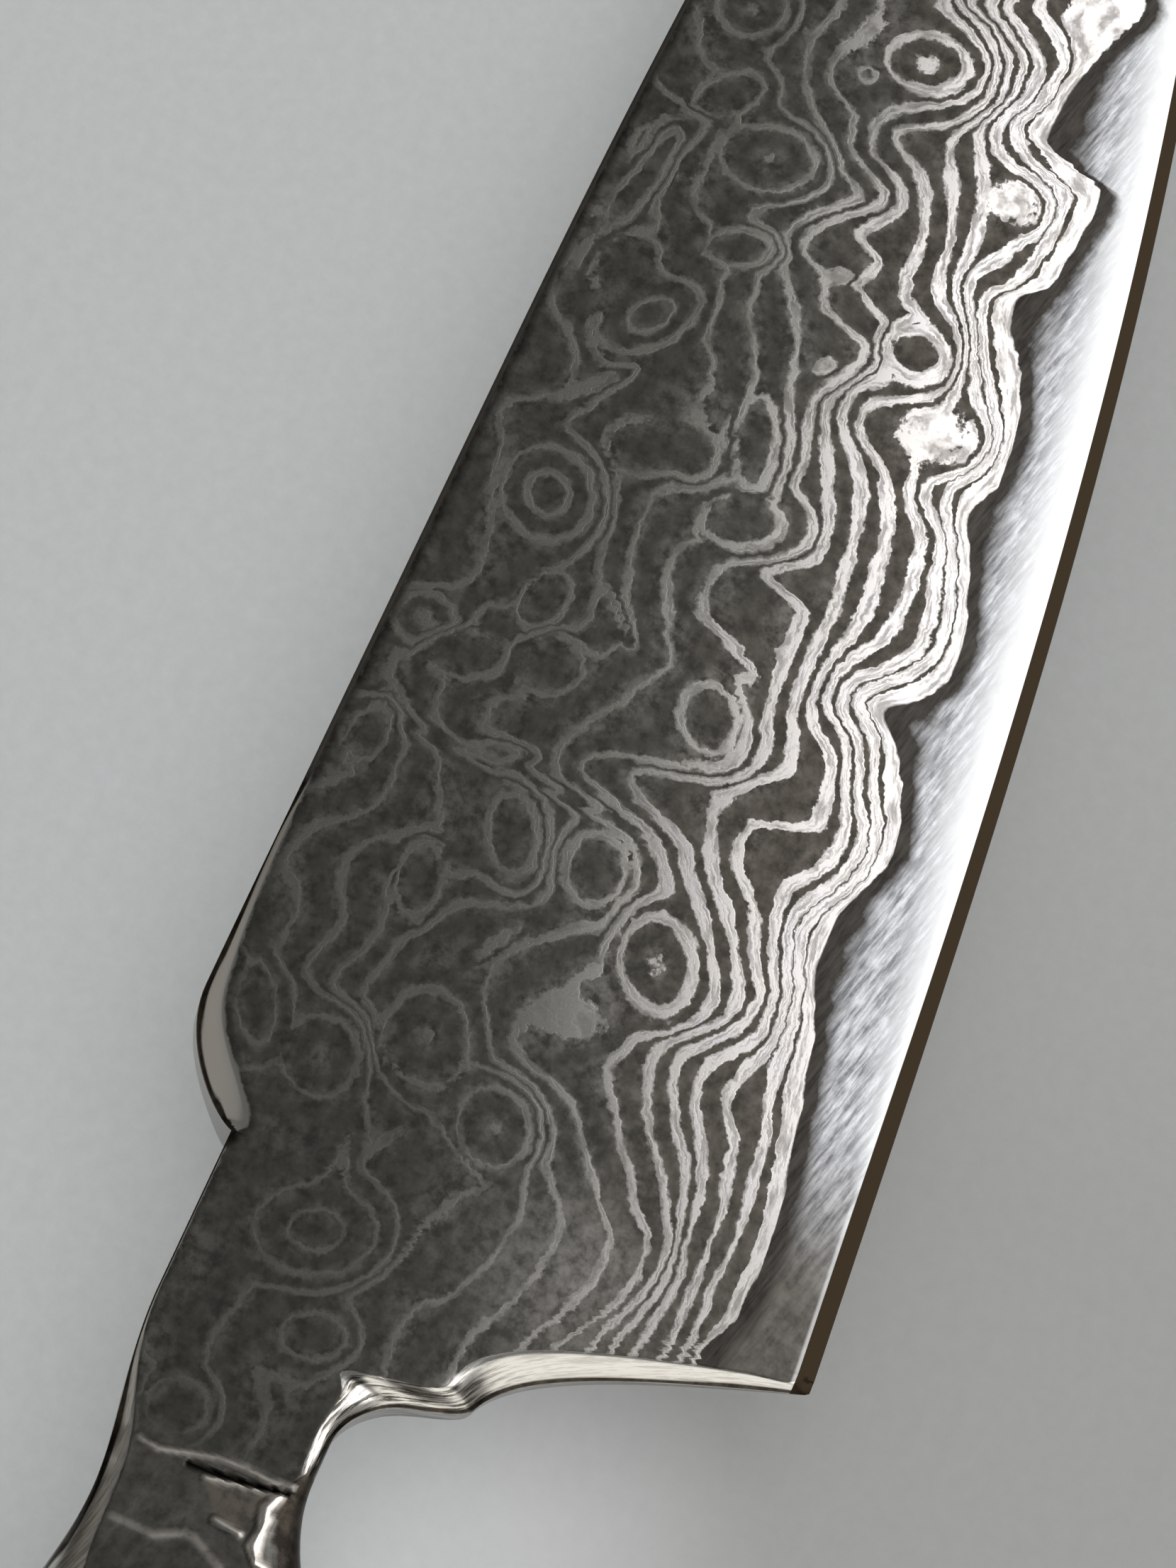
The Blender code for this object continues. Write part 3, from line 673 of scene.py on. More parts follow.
    "farRings": [1, -1, 1.5, 0.5],
    "layersPerMm": 0.42,        # how fast the layers come above the last traced line
    "bends": [(1.3, 5.5, 0), (0.6, 2.4, 5)],        # layers, size in mm, and what its seed has more
    # the first band: its part of the way to the first line, the layers it climbs for the whole way at its
    # pace, the layer at its top, and the pace from there
    "firstBand": (0.72, 0.62, 0.446, 1.98),
    "leastGap": 0.14,           # between two lines, mm
    "coreReach": 0.7,           # over how many mm the core line, its slow wave and the lines are evened
    "waveReach": 12,
    "lineReach": 0.45,
    "leftShift": 1.6,           # the left face's lines lie this far back, mm
    "leftWander": 0.7,
    "wander": (51, 3, 0.5),     # start, run and amount, mm: the lines wander past the photograph
    "wanderSize": 3.1,
    "closing": (52, 35, 0.4),   # and close up towards the tip
    "bayDepth": 0.8,            # of a full bay, mm, and how much flatter the core's layers are in it
    "bayFlat": 1.5,
    "leastDepth": 0.02,         # just above the core line, in layers
}


def onBlade(pixels, level=7.0 * mm):
    # photo pixels to (ahead, above the heel) in mm: a ray through each pixel, down to the given level
    pixels = np.array(pixels, float)
    focal = view["lens"] / view["sensor"] * view["frameHeight"]
    across = (pixels[:, 0] - view["frameWidth"] / 2) / focal
    down = (pixels[:, 1] - view["frameHeight"] / 2) / focal
    rays = np.stack([across, -down, -np.ones(len(pixels))], axis=1)
    rays = rays @ np.array(camera.rotation_euler.to_matrix()).T
    start = np.array(view["location"])
    places = start + rays * ((level - start[2]) / rays[:, 2:])
    return (places[:, 0] - heelX) / mm, (places[:, 1] - heelY) / mm


def coreHeight(x, reach):
    # height of the core line at places x, averaged over the given reach
    ahead, above = onBlade(pattern["coreLine"])
    beyond = np.array(pattern["coreBeyond"])
    ahead = np.concatenate([ahead, beyond[:, 0]])
    above = np.concatenate([above, beyond[:, 1]])
    order = np.argsort(ahead)
    return np.interp(x, *averaged(ahead[order], above[order], reach))


def lineHeights(x, rightFace):
    # heights of the core line and the bright lines at places x. Each bright line is kept as its height
    # above the core line's slow wave, so that past its ends it follows that wave, closing to the tip
    shifted = x if rightFace else x + pattern["leftShift"]
    wave = coreHeight(shifted, pattern["waveReach"])
    closing = 1 - grown(x, *pattern["closing"])
    wander = grown(x, *pattern["wander"]) if rightFace else pattern["leftWander"]
    heights = [coreHeight(shifted, pattern["coreReach"])]
    for k, pixels in enumerate(pattern["lines"]):
        ahead, above = onBlade(pixels)
        order = np.argsort(ahead)
        offset = above[order] - coreHeight(ahead[order], pattern["waveReach"])
        offset = np.interp(shifted, *averaged(ahead[order], offset, pattern["lineReach"]))
        offset = offset * closing + wander * smoothNoise(x, x * 0 + 3 * k, pattern["wanderSize"], 91)
        heights.append(np.maximum(wave + offset, heights[-1] + pattern["leastGap"]))
    return heights


def ringMarks(rightFace):
    # the marks in mm: (ahead, above, half length, half height, turn, rings); the left face and the part
    # past the photograph get their own
    listed = np.array(pattern["marks"], float)
    ahead, above = onBlade(listed[:, :2])
    aheadEast, aboveEast = onBlade(listed[:, :2] + [10, 0])
    scale = np.hypot(aheadEast - ahead, aboveEast - above) / 10
    turn = np.degrees(np.arctan2(aboveEast - above, aheadEast - ahead)) + listed[:, 4]
    marks = np.column_stack([ahead, above, listed[:, 2] * scale, listed[:, 3] * scale, turn, listed[:, 5]])
    random = np.random.default_rng(5 if rightFace else 23)
    count = pattern["farMarks"]
    far = [random.uniform(least, most, count) for least, most in pattern["farRanges"]]
    far = np.column_stack([*far, random.choice(pattern["farRings"], count)])
    if not rightFace:
        marks[:, 0] += random.uniform(-2.5, 2.5, len(marks))
        marks[:, 1] += random.uniform(-2, 2, len(marks))
        marks[:, 4] += random.uniform(0, 90, len(marks))
    return np.concatenate([marks, far])


def ringMark(x, y, ahead, above, along, up, turn, rings):
    # elliptical radius r from the mark's middle, 1 on its outer ring. It gives how much of the field is
    # calmed, exp(-(r/1.4)^10), and a bump that passes half a layer at r = 1
    c, s = math.cos(math.radians(turn)), math.sin(math.radians(turn))
    dx, dy = x - ahead, y - above
    r = np.sqrt(((dx * c + dy * s) / along) ** 2 + ((dy * c - dx * s) / up) ** 2)
    if abs(rings) < 1:
        return np.exp(-r ** 4), rings * np.exp(-r ** 4)
    calm = np.exp(-(r / 1.4) ** 10)
    return calm, rings * np.exp(-math.log(2 * abs(rings)) * r ** 2)


def layerField(ahead, height, rightFace):
    # layers cut through at a point: whole numbers on the traced lines and even steps between them (the
    # first bright band is kept wide), then a steady climb bent by slow noise, calmed and rung by each
    # hammer mark. Below the core line it falls below zero, slower in the bays.
    marks = ringMarks(rightFace)
    x = np.concatenate([ahead.ravel() / mm, marks[:, 0]])
    y = np.concatenate([height.ravel() / mm, marks[:, 1]])
    lines = lineHeights(x, rightFace)
    up = y - lines[0]
    first = np.clip(up / (lines[1] - lines[0]), 0, 1)
    part, slope, level, rest = pattern["firstBand"]
    depth = np.where(first < part, slope * first, level + (first - part) * rest)
    for lower, upper in zip(lines[1:], lines[2:]):
        depth = depth + np.clip((y - lower) / (upper - lower), 0, 1)
    past = np.clip(y - lines[-1], 0, None)
    seed = 3 if rightFace else 13
    bend = sum(amount * smoothNoise(x, y, size, seed + more) for amount, size, more in pattern["bends"])
    depth = depth + pattern["layersPerMm"] * past + ease(past / 3) * bend
    inside = grown(up, -0.2, 1.2)
    bumps = 0
    for k, mark in enumerate(marks):
        calm, bump = ringMark(x, y, *mark)
        here = np.floor(depth[len(depth) - len(marks) + k]) + 0.5
        depth = depth + calm * inside * (here - depth)
        bumps = bumps + inside * bump
    depth = depth + bumps
    bay = np.clip((lines[0] - coreHeight(x, pattern["waveReach"])) / pattern["bayDepth"], 0, 1)
    core = steel["corePerMm"] * up / (1 + pattern["bayFlat"] * bay)
    depth = np.where(up > 0, np.maximum(depth, pattern["leastDepth"]), core)
    count = ahead.size
    return depth[:count].reshape(ahead.shape), up[:count].reshape(ahead.shape)


def hazeMask(x, y):
    # a soft light patch above the choil: exp(-r^4), with r 1 at its radius
    ahead, above = onBlade(pattern["hazeCentre"])
    return np.exp(-(np.hypot(x - ahead[0], y - above[0]) / pattern["hazeRadius"]) ** 4)


def slopeOf(field, ahead, heights):
    # size of the field's gradient, per mm, from differences along both grid lines
    along = np.gradient(field, axis=0) / (np.gradient(ahead)[:, None] / mm)
    up = np.gradient(field, axis=1) / (np.gradient(heights, axis=1) / mm)
    steep = np.gradient(heights, axis=0) / np.gradient(ahead)[:, None]
    return np.hypot(along - up * steep, up)


# Facets at the front of the bolster, left by the hammer and the belt, again in photo pixels

facets = {
    "level": 7.6 * mm,
    "relief": 0.07 * mm,
    "crestUp": 1.6,             # crests and the slot, as shares of the relief
    "slotDown": 1.5,
    "crests": [
        # width in mm, brightness, and points: the ridge, a soft ridge, two rims of the brown facet, and the
        # zigzag, each a painted highlight on a raised crest
        (0.16, 0.42, [(197, 2024), (223, 2040), (264, 2046), (306, 2054), (347, 2069), (379, 2086),
                      (414, 2096)]),
        (0.22, 0.22, [(156, 2140), (181, 2150), (213, 2166), (258, 2163), (272, 2171), (290, 2194),
                      (306, 2214)]),
        (0.17, 0.60, [(290, 2082), (340, 2094), (395, 2108)]),
        (0.17, 0.60, [(302, 2144), (320, 2154), (337, 2165)]),
        (0.26, 1.00, [(395, 2107), (376, 2126), (371, 2160), (355, 2182), (366, 2214)]),
    ],
    # painted shade: a near-black line along a shallow groove
    "slot": [(267, 2061), (300, 2073), (340, 2086), (375, 2096), (404, 2103)],
    "slotWidth": 0.13,
    # painted reflection: the facet coloured brown
    "brown": [(290, 2080), (395, 2106), (374, 2126), (368, 2165), (334, 2163), (302, 2144), (296, 2115)],
    "brownSoft": 0.22,
}


def nearLine(x, y, pixels, width):
    # 1 on the line through the pixels, easing to 0 at the given distance from its nearest stretch
    ahead, above = onBlade(pixels, facets["level"])
    least = np.full(x.shape, 1e9)
    for k in range(len(ahead) - 1):
        dx, dy = ahead[k + 1] - ahead[k], above[k + 1] - above[k]
        along = np.clip(((x - ahead[k]) * dx + (y - above[k]) * dy) / (dx * dx + dy * dy), 0, 1)
        least = np.minimum(least, np.hypot(x - ahead[k] - along * dx, y - above[k] - along * dy))
    return ease(1.4 * (1 - least / width))


def insideShape(x, y, pixels, soft):
    # 1 inside a shape with no hollows, from the greatest distance past any of its sides
    ahead, above = onBlade(pixels, facets["level"])
    past = np.full(x.shape, -1e9)
    turn = np.sign(np.sum(ahead * np.roll(above, -1) - np.roll(ahead, -1) * above))
    for k in range(len(ahead)):
        dx, dy = ahead[k] - ahead[k - 1], above[k] - above[k - 1]
        out = turn * ((x - ahead[k - 1]) * dy - (y - above[k - 1]) * dx) / math.hypot(dx, dy)
        past = np.maximum(past, out)
    return ease(0.5 - past / soft)


def facetMasks(x, y):
    # painted highlights on the crests, painted shade in the slot and a painted reflection on the brown
    # facet, each 0 to 1
    crest = 0
    for width, brightness, pixels in facets["crests"]:
        crest = np.maximum(crest, brightness * nearLine(x, y, pixels, width))
    slot = nearLine(x, y, facets["slot"], facets["slotWidth"])
    return crest, slot, insideShape(x, y, facets["brown"], facets["brownSoft"])


# Pattern-welded steel, forged and etched. Nickel steel layers stay bright and smooth, plain steel layers
# etch dark and dull, and the carbon steel core goes from a grey haze to a mirror at the edge. The layer
# lines are 0.2 to 0.6 mm wide with ragged edges and fine streaks along them. The choil, shoulder and
# chamfers are polished. Light and shade are painted in too: a highlight along the edge, partly brighter
# layers near the core, a darker heel, a dark bevel, dark rim walls, a dark slot, a brown facet and light
# crests.

steel = {
    "dark": ("#444340", "#5d5c57"),
    # partly painted light: near the core line the layers are lighter, partly the steel's own finish there
    "darkNear": ("#46433e", "#69635b"),
    "flatLight": "#97958e",
    "cream": ("#ebe4db", "#e3e0e4"),
    "coreDark": ("#2f2c2a", "#4a4642"),
    "coreHaze": ("#77787b", "#d9dade"),
    # painted highlight along the polished edge
    "coreHighlight": "#dfe0e0",
    # painted shade: the core's haze darker at the heel
    "heelShadedHaze": ("#4a4642", "#6d6963"),
    # painted reflection: the ground bevel coloured dark brown, as it looks reflecting a dark room
    "bevel": "#2b231a",
    "polished": ("#d3d0ca", "#4d4943"),
    # painted reflection: the bolster facet coloured as it looks reflecting something warm
    "brown": "#6d675e",
    # painted shade in the slot
    "slot": "#0d0c0b",
    # painted shade: the rim's side walls coloured dark, as they face away from the lamps
    "wall": ("#2b2723", "#4b453e"),
    "thinLine": 0.13,       # half width of a line in the flat and near the core, mm
    "wideLine": 0.25,
    "spineLayersPerMm": 3.2,
    "flatSoft": 0.15,       # how softly the lines end, mm
    "nearSoft": 0.045,
    "leastSoft": 0.02,      # in layers
    "ragged": 0.34,         # how far the lines' edges wander, mm
    "raggedSize": 0.40,
    "streakSize": 0.16,
    "streakStretch": 9,
    "streakTurn": -15,
    "patchSize": 2.2,
    "cloudSize": 0.55,
    "coreCloudSize": 0.9,
    "speckSize": 0.12,
    "darkRough": 0.46,
    "lightRough": 0.27,
    "polishedRough": 0.20,
    "crestRough": 0.25,
    "bevelRough": 0.30,
    "corePerMm": 2.3,       # how fast the layers fall below zero under the core line
    "bandWidth": 0.42,      # dark band along the core line, mm
    "bandSoft": 0.45,
    "highlightWidth": 0.45,     # painted highlight, a bright band along the bevel, mm
    "etchDepth": 0.015 * mm,
}


def patternSteel(names):
    material, add, place = newMaterial("patternSteelEtched")
    masks = {name: add("Attribute", output="Fac", attribute_name=name) for name in names}
    jag = grain(add, place, steel["raggedSize"], 5, 0.64)
    patch = grain(add, place, steel["patchSize"])
    cloud = grain(add, place, steel["cloudSize"], 5, 0.65)
    reach = add("Math", [masks["layerSlope"], steel["ragged"], 0.12], operation="MULTIPLY_ADD")
    firstLayer = add("MapRange", [masks["layerDepth"], 0.05, 0.6, 0.2, 1.0])
    reach = add("Math", [reach, firstLayer], operation="MULTIPLY")
    bent = swing(add, jag, reach, masks["layerDepth"])
    bent = add("Mix", {0: masks["spine"], 2: bent, 3: spineLayers(add, place)})
    slope = add("Mix", {0: masks["spine"], 2: masks["layerSlope"], 3: steel["spineLayersPerMm"]})

    tone = layerTone(add, bent, slope, masks, patch, cloud)
    streak = flowing(add, place, add("Math", [bent, 7.0], operation="MULTIPLY"), 0.9, 3.0, 0.6)
    dimmers = [
        add("MapRange", [streak, 0.38, 0.56, 0.5, 1.1]),
        masks["patternShare"],
        add("MapRange", [grain(add, place, steel["speckSize"]), 0.3, 0.7, 0.9, 1.05]),
        # painted shade: darker towards the heel
        add("Math", [masks["heelShare"], -0.2, 1.0], operation="MULTIPLY_ADD"),
    ]
    tone = productOf(add, tone, *dimmers)
    haze = add("MapRange", [cloud, 0.38, 0.64, 0.08, 0.36])
    haze = add("Math", [masks["haze"], haze], operation="MULTIPLY")
    tone = add("Clamp", [add("Math", [tone, haze], operation="MAXIMUM")])

    mottle = add("MapRange", [cloud, 0.34, 0.66])
    mixed = {
        # what varies each tint, and its two colours
        "cream": (patch, *steel["cream"]),
        "dark": (mottle, *steel["dark"]),
        "darkNear": (mottle, *steel["darkNear"]),
        "wall": (add("MapRange", [cloud, 0.4, 0.65]), *steel["wall"]),
    }
    tints = {name: add("Mix", {0: share, 6: first, 7: second}, **colourMix)
             for name, (share, first, second) in mixed.items()}
    # partly painted light: lighter layers near the core line, partly the steel's own finish there
    near = masks["creamShare"]
    light = add("Mix", {0: near, 6: steel["flatLight"], 7: tints["cream"]}, **colourMix)
    colour = add("Mix", {0: near, 6: tints["dark"], 7: tints["darkNear"]}, **colourMix)
    roughness = steel["darkRough"]
    inCore = add("MapRange", [bent, -0.02, -0.10])
    shiny = add("MapRange", [swing(add, jag, 0.5, masks["polish"]), 0.42, 0.58])
    brown = add("MapRange", [cloud, 0.35, 0.55, 0.35, 1.0])
    crest = add("MapRange", [cloud, 0.35, 0.5, 0.55, 1.0])
    bevelTop = blade["bevel"] / mm
    finishes = [
        # how much of each lies over the ones before, its colour, and its roughness where it has its own
        (tone, light, steel["lightRough"]),
        (inCore, *coreFinish(add, place, bent, masks)),
        (shiny, rubbedSteel(add, place, masks), steel["polishedRough"]),
        # painted shade on the rim's side walls
        (add("MapRange", [masks["wall"], 0.2, 0.7]), tints["wall"], None),
        # painted reflection on the brown facet
        (add("Math", [masks["brownFacet"], brown], operation="MULTIPLY"), steel["brown"], None),
        # painted highlights on the crests
        (add("Math", [masks["crest"], crest], operation="MULTIPLY"), steel["cream"][0], steel["crestRough"]),
        # painted shade in the slot
        (masks["slot"], steel["slot"], None),
        # painted reflection: the bevel coloured dark
        (add("MapRange", [masks["edgeRise"], bevelTop + 0.01, bevelTop - 0.01]), steel["bevel"],
         steel["bevelRough"]),
    ]
    for share, tint, rough in finishes:
        colour = add("Mix", {0: share, 6: colour, 7: tint}, **colourMix)
        if rough is not None:
            roughness = add("Mix", {0: share, 2: roughness, 3: rough})

    etched = add("Math", [1.0, add("Math", [shiny, inCore], operation="MAXIMUM")], operation="SUBTRACT")
    relief = add("Math", [tone, etched], operation="MULTIPLY")
    normal = add("Bump", {"Height": relief, "Strength": 0.2, "Distance": steel["etchDepth"]})
    return shade(material, {"Base Color": colour, "Roughness": roughness, "Normal": normal, "Metallic": 1.0})


def layerTone(add, bent, slope, masks, patch, cloud):
    # 1 inside a line round each whole number of layers, soft-edged and with a faint halo in the flat. Its
    # half width in layers is slope x width, widened in the first band and held so that no lines touch
    near, heel = masks["creamShare"], masks["heelShare"]
    widths = [
        add("Mix", {0: near, 2: steel["thinLine"], 3: steel["wideLine"]}),
        add("Math", [patch, 2.2, -0.1], operation="MULTIPLY_ADD"),
        add("Math", [heel, -0.4, 1.0], operation="MULTIPLY_ADD"),
        slope,
    ]
    share = productOf(add, *widths)
    bandEnd = add("Math", [heel, -0.20, 0.45], operation="MULTIPLY_ADD")
    pastBand = add("Math", [bent, bandEnd], operation="SUBTRACT")
    share = add("Math", [share, add("MapRange", [pastBand, 0.01, -0.01, 0.045, 0.445])], operation="MAXIMUM")
    share = add("Math", [share, add("MapRange", [bent, 1.4, 2.8, 0.445, 0.31])], operation="MINIMUM")
    away = add("Math", [bent, add("Math", [bent], operation="ROUND")], operation="SUBTRACT")
    away = add("Math", [away], operation="ABSOLUTE")
    soft = add("Mix", {0: near, 2: steel["flatSoft"], 3: steel["nearSoft"]})
    soft = add("Math", [slope, soft], operation="MULTIPLY")
    soft = add("Math", [soft, steel["leastSoft"]], operation="MAXIMUM")
    inside = add("Math", [add("Math", [share, away], operation="SUBTRACT"), soft], operation="DIVIDE")
    line = add("Clamp", [add("Math", [inside, 0.5], operation="ADD")])
    halo = [
        add("MapRange", [away, 0.42, 0.05, 0, 0.55]),
        add("MapRange", [cloud, 0.4, 0.62]),
        add("Mix", {0: near, 2: 0.8, 3: 0.15}),
    ]
    return add("Math", [line, productOf(add, *halo)], operation="MAXIMUM")


def spineLayers(add, place):
    # along the spine the layers are seen edge on, as lines that run the blade's length and wander slowly
    wander = grain(add, place, 0.9, 3, stretch=(7, 1, 1))
    level = add("SeparateXYZ", [place], "Z")
    layers = sumOf(add, (wander, 1.6), (level, steel["spineLayersPerMm"] / mm))
    return add("Math", [layers, 30.0], operation="ADD")


def rubbedSteel(add, place, masks):
    # polished steel with dark streaks that run along the outline: quick across the rim, slow along it
    across = sumOf(add, (add("SeparateXYZ", [place], "Z"), 7.0 / mm), (masks["rim"], 9.0))
    streak = flowing(add, place, across, 0.8, 4.0, 0.65)
    dark = add("MapRange", [streak, 0.54, 0.40])
    dark = add("Math", [dark, masks["streaked"]], operation="MULTIPLY")
    bright, dull = steel["polished"]
    return add("Mix", {0: dark, 6: bright, 7: dull}, **colourMix)


def coreFinish(add, place, bent, masks):
    # colour and roughness of the core: a dark band under the core line, a haze streaked by grinding and
    # painted darker at the heel as shade, and a painted highlight, a bright band along the bevel with a thin
    # bright line at its top
    rise, heel = masks["edgeRise"], masks["heelShare"]
    stretch = (steel["streakStretch"], 1, 1)
    streak = grain(add, place, steel["streakSize"], 4, 0.7, stretch, steel["streakTurn"])
    cloud = grain(add, place, steel["coreCloudSize"], 5, 0.65)
    wander = swing(add, streak, 1.4, swing(add, cloud, 1.6))
    wander = add("Math", [heel, 2.0, wander], operation="MULTIPLY_ADD")
    ahead = add("SeparateXYZ", [place], "X")
    # painted highlight: the bright band narrows towards the heel, and a thin bright line runs along the
    # bevel's top
    narrow = add("MapRange", [ahead, heelX + 9 * mm, heelX + 20 * mm, 0.95, 0.0])
    height = add("Math", [rise, narrow], operation="ADD")
    height = add("Math", [height, wander], operation="ADD")
    bevelTop = blade["bevel"] / mm
    top = bevelTop + steel["highlightWidth"]
    bright = add("MapRange", [height, top + 1.3, top - 0.2])
    line = add("MapRange", [rise, bevelTop + 0.16, bevelTop + 0.08, 0.0, 0.35])
    bright = add("Math", [bright, line], operation="MAXIMUM")

    mist = add("MapRange", [sumOf(add, (streak, 0.9), (cloud, 0.4)), 0.50, 0.80])
    heelMist = add("MapRange", [sumOf(add, (cloud, 1.0), (streak, 0.3)), 0.50, 0.80])
    band = swing(add, cloud, 1.5, bent)
    bandStart, bandEnd = [-steel["corePerMm"] * width
                          for width in (steel["bandWidth"] + steel["bandSoft"], steel["bandWidth"])]
    band = add("MapRange", [band, bandStart, bandEnd])
    haze, heelShadedHaze, dark = [
        add("Mix", {0: share, 6: colours[0], 7: colours[1]}, **colourMix) for share, colours in
        ((mist, steel["coreHaze"]), (heelMist, steel["heelShadedHaze"]), (mist, steel["coreDark"]))
    ]
    colour = haze
    for share, tint in ((heel, heelShadedHaze), (bright, steel["coreHighlight"]), (band, dark)):
        colour = add("Mix", {0: share, 6: colour, 7: tint}, **colourMix)
    return colour, add("MapRange", [bright, 0, 1, 0.36, 0.30])


wearAndPaintedLight = {
    # how the rims are worn and rubbed, and where light and shade are painted: dark side walls, a darker heel
    # and brighter layers near the core. Each run starts at a place in mm ahead of the heel, and grows over a
    # length in mm, backwards where that is negative, up to an amount
    "spineStart": 9,
    "far": 9,                               # stands for too far off to matter, mm
    "wallSoft": 0.06,                       # over this the painted shade on the side walls ends, mm
    "wallTop": 0.05,                        # their width in mm
    "wallShoulder": (9, -5, 0.13),
    "wallShoulderEnd": (-1.5, 1),
    "wallNeck": (-8, -3, 0.14),
    "wallSpine": (9, 3, 0.17),
    "wallLow": 0.12,
    "wallBelly": (-9.2, -1.6, 0.75),
    "wallBellyEnd": (-14, -3),
    "wallEnd": (-15, -3),
    "wallDimmer": (9, 3, 0.4),
    "wallMiddle": 0.45,                     # how dark the painted shade on the walls is at their own middle, up to its end
    "wallMiddleEnd": 10,
    "polishSoft": 0.16 * mm,
    "polishEnd": (-9.3, -0.9),
    "streaksLow": 0.30,
    "streaksChoil": (-3.4, -2.2, 0.70),
    "streaksTop": (-7, -2, 0.45),
    "streaksTang": 0.3,
    "cream": (2, 9),                        # above the core line, where the layers are brighter, partly painted light
    "creamHeel": (-1, 14),
    "creamLost": 0.35,                      # share of it lost at the heel, as painted shade
    # painted shade: full at the heel up to 2 mm ahead, gone 7 mm further on
    "heel": (2, 7),
    "faded": (-9.4, -1.2, 0.8),
}


def rimMasks(x, column, heights, lowCorner, highCorner):
    # how far in from the outline each point is in mm, the painted shade on the side walls, the polished
    # chamfers, and how streaked these are
    fromTop, fromLow = heights[:, -1:] - heights, heights - heights[:, :1]
    topRim = fromTop / np.interp(column, *lean(topLine)) / mm
    lowRim = fromLow / np.interp(column, *lean(bottomLine)) / mm
    lowRim = np.where(column < 0, lowRim, wearAndPaintedLight["far"])
    shoulder = grown(x, *wearAndPaintedLight["wallShoulder"]) * grown(x, *wearAndPaintedLight["wallShoulderEnd"])
    topWall = wearAndPaintedLight["wallTop"] + shoulder + grown(x, *wearAndPaintedLight["wallNeck"])
    topWall = np.where(x < wearAndPaintedLight["spineStart"], topWall, wearAndPaintedLight["wallTop"] + grown(x, *wearAndPaintedLight["wallSpine"]))
    lowWall = wearAndPaintedLight["wallLow"] + grown(x, *wearAndPaintedLight["wallBelly"]) * (1 - grown(x, *wearAndPaintedLight["wallBellyEnd"]))
    # painted shade: dark side walls round the rim
    walls = [ease(0.5 + (width - rim) / wearAndPaintedLight["wallSoft"])
             for width, rim in ((topWall, topRim), (lowWall, lowRim))]
    wall = np.maximum(*walls) * (1 - grown(x, *wearAndPaintedLight["wallEnd"])) * (1 - grown(x, *wearAndPaintedLight["wallDimmer"]))
    wall[:, [0, -1]] *= wearAndPaintedLight["wallMiddle"] * (x[:, :1] < wearAndPaintedLight["wallMiddleEnd"])
    atTop, atLow = [ease(0.5 + (corner - away) / wearAndPaintedLight["polishSoft"])
                    for corner, away in ((highCorner, fromTop), (lowCorner, fromLow))]
    atLow = atLow * (column < 0) * (1 - grown(x, *wearAndPaintedLight["polishEnd"]))
    streaked = np.where(lowRim < topRim, wearAndPaintedLight["streaksLow"] + grown(x, *wearAndPaintedLight["streaksChoil"]),
                        grown(x, *wearAndPaintedLight["streaksTop"]))
    return {
        "rim": np.minimum(topRim, lowRim),
        "wall": wall,
        "polish": np.maximum(np.maximum(atTop, atLow), column < tangStart),
        "streaked": np.where(column < -blade["back"], wearAndPaintedLight["streaksTang"], streaked),
    }


def makeBlade():
    ahead = bladePlaces()
    rows = (blade["rowsCorner"], blade["rowsBody"], blade["rowsPull"])
    heights, lowCorner, highCorner = sectionHeights(ahead, *rows)
    column = ahead[:, None] + 0 * heights
    x = column / mm
    crest, slot, brown = facetMasks(x, heights / mm)
    half = forgedHalf(ahead, heights, lowCorner, highCorner)
    half = np.where(column < tangStart, blade["spine"] / 2, half)
    half = half + facets["relief"] * (facets["crestUp"] * crest - facets["slotDown"] * slot)

    fields = [layerField(column, heights, rightFace) for rightFace in (True, False)]
    heelShadeFactor = 1 - wearAndPaintedLight["creamLost"] * (1 - grown(x, *wearAndPaintedLight["creamHeel"]))
    rise = (heights - edgeLine(column) + blade["bevel"] - bevelHeight(column)) / mm
    spine = np.zeros(heights.shape)
    spine[:, -1] = x[:, 0] > wearAndPaintedLight["spineStart"]
    masks = {
        # an array for both faces, or a list of one for each
        "layerDepth": [depth for depth, up in fields],
        "layerSlope": [slopeOf(depth, ahead, heights) for depth, up in fields],
        "creamShare": [(1 - grown(up, *wearAndPaintedLight["cream"])) * heelShadeFactor for depth, up in fields],
        "edgeRise": np.where(column < -1 * mm, wearAndPaintedLight["far"], rise),
        # 1 at the heel, where shade is painted into the steel
        "heelShare": 1 - grown(x, *wearAndPaintedLight["heel"]),
        "patternShare": 1 - grown(x, *wearAndPaintedLight["faded"]),
        "haze": hazeMask(x, heights / mm),
        "crest": crest,
        "slot": slot,
        "brownFacet": brown,
        "spine": spine,
        **rimMasks(x, column, heights, lowCorner, highCorner),
    }
    piece = tubeMesh("bladeForged", ringPoints(ahead, heights, half, -half), patternSteel(masks))
    for name, values in masks.items():
        right, left = values if isinstance(values, list) else (values, values)
        addAttribute(piece, name, np.concatenate([right, left[:, ::-1]], axis=1))
    seat(piece, "blade")
    print("blade:", len(piece.data.polygons), "faces")
    return piece


# Handle: wood scales over fibre liners, two rivets and a mosaic pin, all ground flush

wood = {
    "turn": 1.5,                # of the figure to the grip, degrees
    "stretch": (6.5, 1, 1),     # the figure is this many times longer along the grip
    "figureSize": 2.6,
    "figureSway": 4.5 * mm,
    "ringEvery": 1.5 * mm,
    "fibreSize": 0.22,
    "fibreStretch": (6, 1, 1),
    "poreSize": 0.32 * mm,
    "poreStretch": (14, 1, 1),
    "poreDepth": 0.03 * mm,
    "dark": "#22150f",
    "light": "#54331f",
    "pore": "#120b08",
}

